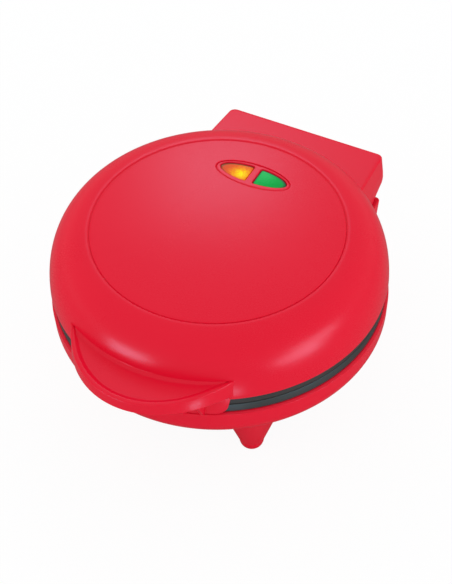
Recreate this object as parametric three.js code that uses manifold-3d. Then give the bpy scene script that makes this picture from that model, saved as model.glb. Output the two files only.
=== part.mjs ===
// Round countertop omelette maker with a hinged lid, modelled as an assembly of separate pieces.
// Millimetres, +Z up, hinge towards +Y, handle towards -Y. It stands on its four feet at Z = 0,
// and the middle of its outer box lies over the origin.
import * as THREE from 'three';
import { mergeVertices } from 'three/addons/utils/BufferGeometryUtils.js';
import Module from 'manifold-3d';

const wasm = await Module();
wasm.setup();

// Overall form
const bodyRadius = 98;
const seamHeight = 65;
const lidHeight = 45;
const wall = 2.5;
const gap = 0.3;
const overrun = 4;
const embed = 0.4;
const weldDistance = 1e-4;
const sliverTolerance = 0.02;
const bodySteps = 48;
const shieldSteps = 32;
const smallSteps = 10;
const screwSteps = 8;

// Seam between the two cooking plates, and the rims that show as the dark band
const rimHeight = 5.55;
const rimInset = 1.8;
const rimWidth = 7;
const rimChamfer = 0.5;

// Lid: bulging flank, round groove, crowned top disc
const flankBulge = 26;
const flankProud = 0.1;
const flankPowerShare = 2.3;
const flankSteps = 7;
const flankInnerSteps = 4;
const crownSteps = 3;
const edgeInset = 0.7;
const edgeRound = 0.5;
const lidBorder = 25;
const discThickness = 2.2;
const crownRise = 3.4;
const grooveChamfer = 0.8;
const discSpigot = 2.6;
const deckDepth = 2.8;
const deckWall = 1.9;

// Base: ledge, upright ring, conical bowl and flat floor
const ledgeDrop = 0.8;
const ledgeWidth = 1.4;
const shelfWidth = 7;
const shelfWall = 2.4;
const ringHeight = 8;
const ringDraft = 0.6;
const bowlRound = 14;
const bowlSlope = Math.PI / 4;
const bowlRoundSteps = 4;
const floorHeight = 13;

// Feet
const footSteps = 12;
const footTipSteps = 2;
const footInsetX = 51.5;
const footInsetY = 43;
const footTipRadius = 7.2;
const footFlatRadius = 5;
const footTipRound = 5.5;
const footFlareShare = 0.317;
const footDrop = 22.2;
const footPadRadius = 3.6;
const footPadHeight = 2.4;
const footPadProud = 0.6;

// Cooking plates: two half-moon pockets each
const plateSkin = 3;
const plateMargin = 15.2;
const dividerWidth = 10;
const pocketDepth = 10;
const pocketDraft = 1.6;
const pocketCorner = 11;
const pocketFillet = 3;
const pocketWall = 2.6;
const pocketArcSteps = 12;
const pocketCornerSteps = 3;
const bossRadius = 5;
const bossHoleDepth = 8.2;
const padRadius = 9;
const padHeight = 15;
const padHoleDepth = 4.6;
const postInset = 16;
const postClearance = 1;

// Tubular heating elements and their shields
const elementInset = 19;
const elementTubeRadius = 3.3;
const elementGapAngle = 0.2;
const elementRiser = 5;
const elementClearance = 0.7;
const elementSteps = 18;
const elementTubeSteps = 44;
const elementSides = 6;
const shieldOverlap = 1;
const shieldThickness = 0.8;
const shieldRim = 5;
const shieldCentreHole = 11;
const shieldSlotWidth = 44;
const shieldSlotDepth = 15;

// Screws
const shankRadius = 1.9;
const plateScrewLength = 11;
const plateScrewHeadRadius = 3.8;
const plateScrewHeadHeight = 2.6;
const plateScrewSeat = 3;
const smallShankRadius = 1.3;
const smallHeadRadius = 2.6;
const smallHeadHeight = 1;
const recessDepthShare = 0.6;
const recessWidthShare = 0.28;
const recessReachShare = 1.1;

// Crescent handle, its skirt, apron and ribs
const handleOverhang = 23;
const handleTipInset = 3;
const handleTipAngle = 0.559;
const handleCurveShare = 1.15;
const handleRise = 14;
const handleRimWidth = 2.8;
const handleDish = 2.4;
const handleBackRise = 3;
const handlePlate = 2.4;
// The dish's hollow against the lid: how far out, and how far down from the back to the floor
const dishShares = [[0.08, 0.55], [0.2, 0.85], [0.4, 1]];
const handleSections = 18;
const skirtHeight = 8.5;
const skirtTipDrop = 5.5;
const skirtRound = 1.4;
const skirtDraft = 0.5;
const apronClearance = 0.7;
const apronWall = 1.8;
const apronDepth = 9.5;
const apronAngle = 0.51;
const apronCorner = 4;
const apronSteps = 10;
const ribWidth = 1.8;
const ribOffsets = [17, 26.5, 36];

// Indicator windows in the top disc
const bezelInset = 28;
const bezelLong = 23.4;
const bezelShort = 9.6;
const bezelRim = 1.6;
const bezelStep = 1;
const bezelBar = 3;
const bezelRecess = 0.9;
const bezelFlange = 1.8;
const bezelFlangeHeight = 1;
const ellipseSteps = 24;
const lensFlange = 0.9;
const lensFlangeHeight = 0.8;

// Lamps and their tray
const trayMarginLong = 3.6;
const trayMarginWide = 2.4;
const trayHeight = 7.5;
const trayWall = 1.5;
const trayTab = 9;
const trayTabHeight = 2.4;
const trayScrewLength = 4.4;
const lampRadius = 2.9;
const lampLength = 15;
const lampSteps = 8;

// Hinge
const hingeBehind = 11;
const hingeDrop = 1;
const pinRadius = 2;
const knuckleRadius = 5;
const sideBoss = 7.1;
const lugWidth = 4;
const earWidth = 8.4;
const sideGap = 0.5;
const rimSweep = 1.6;
const pinBlind = 3.4;
const blockFrontHalf = 53.6;
const blockTaper = 4.1;
const blockLead = 20;
const blockBehind = 10;
const blockCorner = 5;
const cornerSteps = 4;
const blockRiseRear = 11;
const blockRiseFront = 15.9;
const blockFloorLift = 0.8;
const blockStepBehind = 3.5;
const blockStepRise = 4;
const passageHalf = 15;
const passageRise = 5;
const passageTall = 6;

// Rear platform of the base
const platformProudFront = 0.9;
const platformProudRear = 3.5;
const platformInset = 2;
const platformSlopeShare = 0.4;
const platformDrop = 20.2;
const heelInset = 12;
const heelDrop = 26.2;
const platformCorner = 4;
const neckReach = 11;

// Cord gland and terminal block
const glandDrop = 14.2;
const glandBore = 4;
const glandBody = 5.6;
const glandFlange = 7;
const glandFlangeHeight = 2;
const glandBossRadius = 8.5;
const glandFaceInset = 3;
const glandLength = 9;
const glandSteps = 16;
const terminalInset = 13;
const terminalLong = 30;
const terminalWide = 16;
const terminalTall = 12;
const terminalSlotWide = 6;
const terminalSlotDeep = 5;
const terminalFoot = 3;
const terminalFootRadius = 5;
const terminalScrewLength = 10;

// Thermostat, thermal fuse and its clip
const thermostatRadius = 7.5;
const thermostatHeight = 7;
const thermostatStud = 4;
const bladeWide = 6.3;
const bladeThick = 0.8;
const bladeTall = 5;
const bladeSpacing = 8;
const fuseRadius = 2;
const fuseLength = 12;
const fuseLeadRadius = 0.6;
const fuseLeadLength = 6;
const fuseOffset = 6.4;
const clipFoot = 5;
const clipWide = 7;
const clipThick = 0.8;
const fuseScrewLength = 4;

// Heights and radii that follow from the sizes above
const overallHeight = seamHeight + lidHeight;
const upperFace = seamHeight + gap / 2;
const lowerFace = seamHeight - gap / 2;
const lidEdge = upperFace + rimHeight + gap;
const baseTop = lowerFace - rimHeight - gap;
const equator = lidEdge + edgeRound;
const plateRadius = bodyRadius - rimInset;
const flankStart = bodyRadius - flankBulge;
const discRadius = bodyRadius - lidBorder;
const discEdge = overallHeight - crownRise;
const deckTop = discEdge - deckDepth;
const deckUnder = deckTop - deckWall;
const recessRadius = discRadius + gap;
const flankRise = discEdge + flankProud - equator;
const hingeY = bodyRadius + hingeBehind;
const hingeZ = seamHeight - hingeDrop;
const platformTop = baseTop - ledgeDrop;
const platformRear = hingeY - platformInset;
const blockFloor = platformTop + gap + blockFloorLift;
const elementLevel = pocketDepth + pocketWall + gap + elementTubeRadius;
const bossHeight = elementLevel + elementTubeRadius + elementClearance;
const shieldLevel = bossHeight + gap;
const postLevel = shieldLevel + shieldThickness + gap;
const screwSeat = postLevel + plateScrewSeat;
const blockFront = bodyRadius - blockLead;
const blockRear = hingeY + blockBehind;
const blockTopRear = lidEdge + blockRiseRear;
const blockTopFront = lidEdge + blockRiseFront;
const handleReach = bodyRadius + handleOverhang;
const handleTipRadius = bodyRadius - handleTipInset;
const handleRimHeight = lidEdge + handleRise;
const passageLow = lidEdge + passageRise;
const footTop = platformTop - footDrop;
const pocketRadius = plateRadius - plateMargin;
const elementLoopRadius = pocketRadius - elementInset;
const shieldRadius = pocketRadius + shieldOverlap;
const platformFoot = platformTop - platformDrop;
const platformHeel = bodyRadius - heelInset;
const platformBase = platformTop - heelDrop;
const glandHeight = platformTop - glandDrop;
const glandBossFace = platformRear - glandFaceInset;
const bezelY = discRadius - bezelInset;
const trayLong = 2 * (bezelLong + trayMarginLong);
const trayWide = 2 * (bezelShort + trayMarginWide);
const trayScrewX = (trayLong + trayTab) / 2;
const postRing = elementLoopRadius - postInset;
const postY = bezelY - trayWide / 2 - bossRadius - postClearance;
const postX = Math.sqrt(postRing ** 2 - postY ** 2);
const footX = bodyRadius - footInsetX;
const footY = bodyRadius - footInsetY;
const terminalY = footY - terminalInset;
const blockRearHalf = blockFrontHalf - blockTaper;
const lugInner = sideWall(hingeY) - sideBoss - 2 * sideGap - earWidth - lugWidth;
const platformFrontHalf = blockFrontHalf + platformProudFront;
const platformRearHalf = blockRearHalf + platformProudRear;
const windowLong = bezelLong - bezelRim - bezelStep;
const windowShort = bezelShort - bezelRim - bezelStep;
const crownTilt = Math.atan(2 * crownRise * bezelY / discRadius ** 2);
// How far the disc's underside falls away from flat at the ends of the bezel's flange
const bezelSag = crownRise * ((bezelLong + bezelFlange) / discRadius) ** 2;
const bezelUnder = -discThickness - bezelSag - gap;
const frontToAxis = (handleReach - blockRear) / 2;

const red = 0xe8243c;
const materials = {
  red: { color: red, roughness: 0.32, metalness: 0 },
  plate: { color: 0x3a4240, roughness: 0.45, metalness: 0.3 },
  steel: { color: 0xb9bcc0, roughness: 0.3, metalness: 1 },
  sheet: { color: 0xc8ccd0, roughness: 0.4, metalness: 1 },
  amber: { color: 0xff9a1a, roughness: 0.15, metalness: 0 },
  green: { color: 0x12a05a, roughness: 0.15, metalness: 0 },
  lamp: { color: 0xffd9a0, roughness: 0.1, metalness: 0 },
  rubber: { color: 0x2a2a2c, roughness: 0.8, metalness: 0 },
  black: { color: 0x1c1d20, roughness: 0.5, metalness: 0 },
  ceramic: { color: 0xe9e4d8, roughness: 0.6, metalness: 0 },
};

// Closed geometry with shared corners, no flat triangles and its faces pointing out
function closedGeometry(source) {
  const plain = new THREE.BufferGeometry();
  plain.setAttribute('position', source.getAttribute('position').clone());
  if (source.index) plain.setIndex(source.index.clone());
  const merged = mergeVertices(plain, weldDistance);
  const corners = merged.index.array;
  const kept = [];
  for (let i = 0; i < corners.length; i += 3) {
    const [a, b, c] = [corners[i], corners[i + 1], corners[i + 2]];
    if (a !== b && b !== c && c !== a) kept.push(a, b, c);
  }
  merged.setIndex(kept);
  if (signedVolume(merged) < 0) merged.setIndex(kept.reverse());
  return merged;
}

function signedVolume(geometry) {
  const position = geometry.getAttribute('position');
  const index = geometry.index.array;
  const [a, b, c] = [new THREE.Vector3(), new THREE.Vector3(), new THREE.Vector3()];
  let volume = 0;
  for (let i = 0; i < index.length; i += 3) {
    a.fromBufferAttribute(position, index[i]);
    b.fromBufferAttribute(position, index[i + 1]);
    c.fromBufferAttribute(position, index[i + 2]);
    volume += a.dot(b.cross(c));
  }
  return volume;
}

function solid(source) {
  const geometry = closedGeometry(source);
  return new wasm.Manifold(new wasm.Mesh({
    numProp: 3,
    vertProperties: new Float32Array(geometry.getAttribute('position').array),
    triVerts: new Uint32Array(geometry.index.array),
  }));
}

// Geometry of a finished body, without the slivers that its cuts left
function geometryOf(body) {
  const mesh = body.simplify(sliverTolerance).getMesh();
  const geometry = new THREE.BufferGeometry();
  geometry.setAttribute('position', new THREE.BufferAttribute(new Float32Array(mesh.vertProperties), 3));
  geometry.setIndex(new THREE.BufferAttribute(new Uint32Array(mesh.triVerts), 1));
  geometry.computeVertexNormals();
  return geometry;
}

// A profile of [radius, height] pairs turned about the Z axis
function turned(profile, steps = bodySteps) {
  const points = profile.map(([r, z]) => new THREE.Vector2(r, z));
  const onAxis = profile[0][0] === 0 && profile.at(-1)[0] === 0;
  if (!onAxis) points.push(points[0].clone());
  return solid(new THREE.LatheGeometry(points, steps).rotateX(Math.PI / 2));
}

// A cylinder along Z from one height to another
function rod(radius, low, high, steps = smallSteps) {
  return turned([[0, low], [radius, low], [radius, high], [0, high]], steps);
}

// An outline of [a, b] pairs pushed straight along the third axis
function pushed(outline, depth) {
  const shape = new THREE.Shape(outline.map(([a, b]) => new THREE.Vector2(a, b)));
  return new THREE.ExtrudeGeometry(shape, { depth, bevelEnabled: false });
}

// An [x, y] outline between two heights
function upright(outline, low, high) {
  return solid(pushed(outline, high - low).translate(0, 0, low));
}

// A [y, z] outline between two places along X
function across(outline, from, to) {
  const turn = new THREE.Matrix4().makeBasis(
    new THREE.Vector3(0, 1, 0), new THREE.Vector3(0, 0, 1), new THREE.Vector3(1, 0, 0));
  return solid(pushed(outline, to - from).applyMatrix4(turn).translate(from, 0, 0));
}

function block(x0, x1, y0, y1, z0, z1) {
  return upright([[x0, y0], [x1, y0], [x1, y1], [x0, y1]], z0, z1);
}

// Skin over a row of closed outlines with equal counts, closed at both ends by a fan from the
// first point. place turns an outline's [a, b] pair and the section's own value into a point.
function lofted(sections, place) {
  const count = sections[0].outline.length;
  const points = sections.flatMap(({ outline, at }) => outline.map((pair) => place(pair, at)));
  const faces = [];
  for (let s = 0; s < sections.length - 1; s += 1) {
    for (let i = 0; i < count; i += 1) {
      const [a, b] = [s * count + i, s * count + (i + 1) % count];
      faces.push(a, b, b + count, a, b + count, a + count);
    }
  }
  const end = (sections.length - 1) * count;
  for (let i = 1; i < count - 1; i += 1) faces.push(0, i + 1, i, end, end + i, end + i + 1);
  const geometry = new THREE.BufferGeometry().setFromPoints(points);
  geometry.setIndex(faces);
  return solid(geometry);
}

const stacked = ([x, y], z) => new THREE.Vector3(x, y, z);

const join = (first, ...others) => others.reduce((sum, next) => sum.add(next), first);
const cut = (first, ...others) => others.reduce((rest, next) => rest.subtract(next), first);
const corners = (x, y) => [[-x, -y], [x, -y], [-x, y], [x, y]];
const arc = (from, to, steps) => Array.from({ length: steps + 1 }, (_, i) => from + (to - from) * i / steps);

// Flank of the lid: a rounded superellipse from the equator up to the groove
function flankPoint(angle, inset) {
  const power = 2 / flankPowerShare;
  return [
    flankStart + (bodyRadius - flankStart - inset) * Math.cos(angle) ** power,
    equator + (flankRise - inset) * Math.sin(angle) ** power,
  ];
}

function flankAngle(radius, inset) {
  const share = (radius - flankStart) / (bodyRadius - flankStart - inset);
  return Math.acos(share ** (flankPowerShare / 2));
}

function flankRadius(height) {
  const share = Math.max(height - equator, 0) / flankRise;
  return flankStart + (bodyRadius - flankStart) * (1 - share ** flankPowerShare) ** (1 / flankPowerShare);
}

function flank(outerRadius, inset) {
  const end = flankAngle(outerRadius, inset);
  return arc(0, end, inset > 0 ? flankInnerSteps : flankSteps).map((angle) => flankPoint(angle, inset));
}

function lidShell() {
  const grooveEdge = recessRadius + grooveChamfer;
  const outside = flank(grooveEdge, 0);
  const inside = flank(recessRadius + wall, wall).reverse();
  return turned([
    [bodyRadius - edgeInset - wall, lidEdge],
    [bodyRadius - edgeInset, lidEdge],
    ...outside,
    [recessRadius, outside.at(-1)[1] - grooveChamfer],
    [recessRadius, deckTop],
    [recessRadius / 2, deckTop],
    [recessRadius / 2, deckUnder],
    [recessRadius + wall, deckUnder],
    ...inside,
  ]).add(rod(recessRadius / 2 + wall, deckUnder, deckTop, bodySteps));
}

// The space just inside the outer face of the lid, which the hinge hollow stays out of
function lidCore() {
  const low = lidEdge + embed;
  return turned([[0, low], [bodyRadius - edgeInset - embed, low], ...flank(recessRadius + embed, embed),
    [0, equator + flankRise]]);
}

// Rear block outline in plan, tapering to the back with rounded corners
function taperedPlan(front, rear, frontHalf, rearHalf, corner, inset) {
  const lean = Math.atan((frontHalf - rearHalf) / (rear - front));
  const [half, back, round] = [rearHalf - inset, rear - inset, Math.max(corner - inset, gap)];
  const side = arc(lean, Math.PI / 2, cornerSteps).map((angle) => [
    half - round * Math.cos(lean) + round * Math.cos(angle),
    back - round + round * Math.sin(angle),
  ]);
  const right = [[frontHalf - inset, front], ...side];
  return [...right, ...right.map(([x, y]) => [-x, y]).reverse()];
}

function hingeBlock() {
  const plan = taperedPlan(blockFront, blockRear, blockFrontHalf, blockRearHalf, blockCorner, 0);
  const stepY = hingeY + blockStepBehind;
  const stepZ = blockFloor + blockStepRise;
  const side = [[blockFront, blockFloor], [stepY, blockFloor], [stepY, stepZ],
    [blockRear + overrun, stepZ], [blockRear + overrun, blockTop(blockRear + overrun)],
    [blockFront, blockTop(blockFront)]];
  return upright(plan, blockFloor - overrun, blockTopFront + overrun)
    .intersect(across(side, -blockFrontHalf, blockFrontHalf));
}

function blockTop(y) {
  return blockTopFront + (blockTopRear - blockTopFront) * (y - blockFront) / (blockRear - blockFront);
}

function hingeHollow() {
  const front = blockFront - overrun;
  const plan = taperedPlan(front, blockRear, blockFrontHalf, blockRearHalf, blockCorner, wall);
  const side = [[front, blockFloor - overrun], [blockRear, blockFloor - overrun],
    [blockRear, blockTop(blockRear) - wall], [front, blockTop(front) - wall]];
  return upright(plan, blockFloor - overrun, blockTopFront + overrun)
    .intersect(across(side, -blockFrontHalf, blockFrontHalf))
    .subtract(lidCore());
}

function knuckle(from, to) {
  const round = arc(0, 2 * Math.PI, smallSteps).slice(0, -1)
    .map((angle) => [hingeY + knuckleRadius * Math.cos(angle), hingeZ + knuckleRadius * Math.sin(angle)]);
  return across(round, from, to);
}

function pinHole(from, to) {
  return rod(pinRadius + gap, from, to).rotate([0, 90, 0]).translate([0, hingeY, hingeZ]);
}

// Lugs inside the block that carry the hinge pin, mirrored left and right
function lidLugs() {
  const lugOuter = lugInner + lugWidth;
  const bossInner = lugOuter + earWidth + 2 * sideGap;
  const bossOuter = sideWall(hingeY) - wall / 2;
  const web = [[hingeY - knuckleRadius, hingeZ], [hingeY + knuckleRadius, hingeZ],
    [hingeY + knuckleRadius, blockTop(hingeY + knuckleRadius) - wall / 2],
    [hingeY - knuckleRadius, blockTop(hingeY - knuckleRadius) - wall / 2]];
  const lug = join(knuckle(lugInner, lugOuter), across(web, lugInner, lugOuter));
  const right = join(lug, knuckle(bossInner, bossOuter));
  return join(right, right.mirror([1, 0, 0]));
}

function sideWall(y) {
  return blockFrontHalf + (blockRearHalf - blockFrontHalf) * (y - blockFront) / (blockRear - blockFront);
}

function pinSpan() {
  return [lugInner + gap, sideWall(hingeY) - pinBlind];
}

// Handle: for an angle from the front, its outer radius and how full the crescent is there
function handleFullness(angle) {
  return Math.cos(angle / handleTipAngle * Math.PI / 2);
}

function handleRadius(angle) {
  return handleTipRadius + (handleReach - handleTipRadius) * handleFullness(angle) ** handleCurveShare;
}

// Closed [radius, height] section of the handle, from inside the flank out to the skirt and back
function handleSection(angle) {
  const full = handleFullness(angle);
  const outer = handleRadius(angle);
  const backHeight = handleRimHeight + handleBackRise * full;
  const back = flankRadius(backHeight);
  const root = back - wall / 2;
  const front = outer - handleRimWidth;
  const span = front - back;
  const dish = handleRimHeight - handleDish * full;
  const foot = handleRimHeight - skirtHeight - skirtTipDrop * (1 - full ** (1 / 2));
  const fill = dishShares.map(([along, down]) => [
    back + span * along, backHeight + (dish - backHeight) * down]);
  const under = dish - handlePlate;
  return [
    [outer - handlePlate, under], [root, under],
    [root, backHeight], ...fill, [front - handleRimWidth / 2, dish], [front, handleRimHeight],
    [outer - skirtRound, handleRimHeight], [outer, handleRimHeight - skirtRound],
    [outer + skirtDraft, foot], [outer + skirtDraft - handlePlate, foot],
  ];
}

function aroundFront([radius, height], angle) {
  return new THREE.Vector3(radius * Math.sin(angle), -radius * Math.cos(angle), height);
}

function handle() {
  const end = handleTipAngle * (1 - 1 / handleSections);
  const sections = arc(-end, end, handleSections).map((at) => ({ outline: handleSection(at), at }));
  return lofted(sections, aroundFront);
}

// Apron that hangs from the lid's edge behind the skirt and covers the plate rims
function apron() {
  const inner = plateRadius + apronClearance;
  const bottom = lidEdge - apronDepth;
  const top = lidEdge + apronWall;
  const cornerAngle = apronCorner / inner;
  const sections = arc(-apronAngle, apronAngle, apronSteps).map((at) => {
    const past = Math.max(Math.abs(at) - (apronAngle - cornerAngle), 0) / cornerAngle;
    const low = bottom + apronCorner * (1 - Math.sqrt(Math.max(1 - past ** 2, 0)));
    return { outline: [[inner, low], [inner + apronWall, low], [inner + apronWall, top], [inner, top]], at };
  });
  return lofted(sections, aroundFront);
}

// Ribs that tie the apron to the underside of the handle, either side of the finger bay
function ribs() {
  const inner = plateRadius + apronClearance + apronWall / 2;
  const bottom = lidEdge - apronDepth + apronCorner / 2;
  const made = ribOffsets.flatMap((offset) => [-offset, offset].map((x) => {
    const angle = Math.asin(Math.abs(x) / handleReach);
    const reach = handleRadius(angle) - handlePlate / 2;
    const skirtFoot = handleRimHeight - skirtHeight;
    const top = handleRimHeight - handleDish - handlePlate / 2;
    const side = [[-Math.sqrt(inner ** 2 - x ** 2), bottom], [-Math.sqrt(inner ** 2 - x ** 2), top],
      [-Math.sqrt(reach ** 2 - x ** 2), top], [-Math.sqrt(reach ** 2 - x ** 2), skirtFoot + gap],
      [-Math.sqrt((inner + apronWall) ** 2 - x ** 2), bottom]];
    return across(side, x - ribWidth / 2, x + ribWidth / 2);
  }));
  return join(...made);
}

// Post that hangs from the deck, with the well for a screw head
function lidPosts() {
  const low = upperFace + postLevel;
  return join(...corners(postX, postY).map(([x, y]) => rod(bossRadius, low, deckTop).translate([x, y, 0])));
}

function lidWells() {
  const seat = upperFace + screwSeat;
  const low = upperFace + postLevel - overrun;
  return join(...corners(postX, postY).map(([x, y]) => join(
    rod(plateScrewHeadRadius + gap, seat, deckTop + overrun),
    rod(shankRadius + gap, low, deckTop),
  ).translate([x, y, 0])));
}

function lidHousing() {
  const windowHalf = trayWide / 2 - trayWall;
  const window = block(-trayLong / 2 + trayWall, trayLong / 2 - trayWall,
    bezelY - windowHalf, bezelY + windowHalf, deckUnder - overrun, deckTop + overrun);
  const passage = block(-passageHalf, passageHalf, 0, bodyRadius + overrun, passageLow,
    passageLow + passageTall);
  const screws = [-trayScrewX, trayScrewX].map((x) => (
    rod(smallShankRadius + gap, deckUnder - overrun, deckTop + overrun).translate([x, bezelY, 0])));
  const [pinFrom, pinTo] = pinSpan();
  const holes = [pinHole(lugInner - overrun, pinTo + gap), pinHole(-pinTo - gap, -lugInner + overrun)];
  const rimRoom = rod(plateRadius + rimSweep, blockFloor - overrun, lidEdge, bodySteps);
  const shell = join(lidShell(), cut(hingeBlock(), hingeHollow(), lidInside(), rimRoom));
  const [grip, gripRibs] = [cut(handle(), lidInside()), cut(ribs(), lidInside())];
  const body = join(shell, lidLugs(), grip, apron(), gripRibs, lidPosts());
  return cut(body, lidWells(), window, passage, ...screws, ...holes);
}

// The room inside the lid, and a little of its wall, that nothing joined to the outside reaches into
function lidInside() {
  const inset = wall - embed;
  const edge = bodyRadius - edgeInset - inset;
  return turned([[0, lidEdge - overrun], [edge, lidEdge - overrun], [edge, lidEdge],
    ...flank(recessRadius + inset, inset), [0, deckUnder + embed]]);
}

const crown = (radius) => overallHeight - crownRise * (radius / discRadius) ** 2;

function ellipse(long, short) {
  return arc(0, 2 * Math.PI, ellipseSteps).slice(0, -1)
    .map((angle) => [long * Math.cos(angle), short * Math.sin(angle)]);
}

// Half of an ellipse, cut off straight at the bar between the windows
function halfEllipse(long, short, cutAt, side) {
  const start = Math.acos(cutAt / long);
  return arc(-start, start, ellipseSteps / 2)
    .map((angle) => [side * long * Math.cos(angle), short * Math.sin(angle)]);
}

// A body made flat about the window's centre, set into the crown at its slope
function setInCrown(body) {
  return body.rotate([-crownTilt * 180 / Math.PI, 0, 0]).translate([0, bezelY, crown(bezelY)]);
}

function topDisc() {
  const radii = arc(0, discRadius - grooveChamfer, crownSteps);
  const skin = turned([
    ...radii.map((r) => [r, crown(r)]),
    [discRadius, crown(discRadius) - grooveChamfer],
    [discRadius, deckTop + gap],
    [discRadius - discSpigot, deckTop + gap],
    ...radii.reverse().slice(1).map((r) => [r, crown(r) - discThickness]),
  ]);
  const hole = setInCrown(upright(ellipse(bezelLong + gap, bezelShort + gap), -overrun, overrun));
  return cut(skin, hole);
}

function bezel() {
  const low = bezelUnder - bezelFlangeHeight;
  const body = join(
    upright(ellipse(bezelLong, bezelShort), low, -bezelRecess),
    upright(ellipse(bezelLong + bezelFlange, bezelShort + bezelFlange), low, bezelUnder));
  const floor = -bezelRecess - bezelStep;
  const dish = upright(ellipse(bezelLong - bezelRim, bezelShort - bezelRim), floor, overrun);
  const holes = [-1, 1].map((side) => upright(
    halfEllipse(windowLong + gap, windowShort + gap, bezelBar / 2, side), low - overrun, overrun));
  return cut(body, dish, ...holes);
}

function lens(side) {
  const under = bezelUnder - bezelFlangeHeight - gap;
  const edge = bezelBar / 2 + gap;
  return join(
    upright(halfEllipse(windowLong, windowShort, edge, side), under, -bezelRecess - bezelStep),
    upright(halfEllipse(windowLong + lensFlange, windowShort + lensFlange, edge, side),
      under - lensFlangeHeight, under));
}

function lampTray() {
  const top = deckUnder - gap;
  const low = top - trayHeight;
  const box = (inset, bottom, high) => block(-trayLong / 2 + inset, trayLong / 2 - inset,
    bezelY - trayWide / 2 + inset, bezelY + trayWide / 2 - inset, bottom, high);
  const hollow = cut(box(trayWall, low + trayWall, top + overrun),
    block(-trayWall / 2, trayWall / 2, bezelY - trayWide, bezelY + trayWide, low, top));
  const tabHalf = trayLong / 2 + trayTab;
  const tabs = cut(block(-tabHalf, tabHalf, bezelY - trayTab / 2, bezelY + trayTab / 2,
    top - trayTabHeight, top), box(trayWall, low, top + overrun));
  const holes = [-trayScrewX, trayScrewX].map((x) => (
    rod(smallShankRadius + gap, low, top + overrun).translate([x, bezelY, 0])));
  return cut(join(cut(box(0, low, top), hollow), tabs), ...holes);
}

function lamp() {
  const tip = lampRadius / 2;
  return turned([[0, 0], [lampRadius / 2, 0], [lampRadius, tip], [lampRadius, lampLength - tip],
    [lampRadius / 2, lampLength], [0, lampLength]], lampSteps);
}

// Half-moon outline, drawn in from the pocket's mouth by an inset
function halfMoon(side, inset) {
  const [round, straight] = [pocketCorner, dividerWidth / 2];
  const centreX = straight + round;
  const centreY = Math.sqrt((pocketRadius - round) ** 2 - centreX ** 2);
  const turn = Math.atan2(centreY, centreX);
  const small = round - inset;
  const upper = arc(turn, Math.PI, pocketCornerSteps)
    .map((angle) => [centreX + small * Math.cos(angle), centreY + small * Math.sin(angle)]);
  const outer = arc(-turn, turn, pocketArcSteps).slice(1, -1)
    .map((angle) => [(pocketRadius - inset) * Math.cos(angle), (pocketRadius - inset) * Math.sin(angle)]);
  const lower = upper.map(([x, y]) => [x, -y]).reverse();
  return [...lower, ...outer, ...upper].map(([x, y]) => [side * x, y]);
}

function pocket(side, wallOut, mouth) {
  const depth = pocketDepth + wallOut;
  const straight = depth - pocketFillet;
  const inset = (z) => pocketDraft * z / pocketDepth - wallOut;
  const levels = [[mouth, inset(0)], [0, inset(0)], [straight, inset(straight)],
    [depth - pocketFillet / 4, inset(straight) + pocketFillet / 4],
    [depth, inset(straight) + pocketFillet]];
  const sections = levels.filter(([z], i) => i !== 1 || mouth < 0)
    .map(([z, d]) => ({ outline: halfMoon(side, d), at: z }));
  return lofted(sections, stacked);
}

// Die-cast plate, mating face at zero and its back upwards
function cookingPlate() {
  const disc = turned([[0, 0], [plateRadius - rimChamfer, 0], [plateRadius, rimChamfer],
    [plateRadius, rimHeight], [plateRadius - rimWidth, rimHeight],
    [plateRadius - rimWidth, plateSkin], [0, plateSkin]]);
  const bosses = corners(postX, postY).map(([x, y]) => (
    rod(bossRadius, pocketDepth + pocketWall / 2, bossHeight).translate([x, y, 0])));
  const pad = rod(padRadius, plateSkin / 2, padHeight);
  const bowls = [-1, 1].map((side) => pocket(side, pocketWall, plateSkin / 2));
  const body = join(disc, ...bowls, ...bosses, pad);
  const holes = corners(postX, postY).map(([x, y]) => (
    rod(shankRadius + gap, bossHeight - bossHoleDepth, bossHeight + overrun).translate([x, y, 0])));
  const padHole = rod(shankRadius + gap, padHeight - padHoleDepth, padHeight + overrun);
  return cut(body, pocket(-1, 0, -overrun), pocket(1, 0, -overrun), ...holes, padHole);
}

// Bent tubular heater: a ring open at the back with both ends turned up
function heatingElement() {
  const start = Math.PI / 2 + elementGapAngle;
  const end = Math.PI * 5 / 2 - elementGapAngle;
  const bend = elementTubeRadius * 2;
  const loop = arc(start, end, elementSteps).map((angle) => new THREE.Vector3(
    elementLoopRadius * Math.cos(angle), elementLoopRadius * Math.sin(angle), elementLevel));
  const raised = (point, along) => [
    point.clone().add(new THREE.Vector3(along * bend / 2, 0, bend / 4)),
    point.clone().add(new THREE.Vector3(along * bend * 3 / 4, 0, bend)),
    point.clone().add(new THREE.Vector3(along * bend * 3 / 4, 0, bend + elementRiser)),
  ];
  const [first, last] = [raised(loop[0], 1), raised(loop.at(-1), -1)];
  const path = new THREE.CatmullRomCurve3([...first.reverse(), ...loop, ...last]);
  const round = new THREE.Shape(arc(0, 2 * Math.PI, elementSides).slice(0, -1).map((angle) => (
    new THREE.Vector2(elementTubeRadius * Math.cos(angle), elementTubeRadius * Math.sin(angle)))));
  const tube = new THREE.ExtrudeGeometry(round, { steps: elementTubeSteps, extrudePath: path });
  return solid(tube);
}

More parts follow.
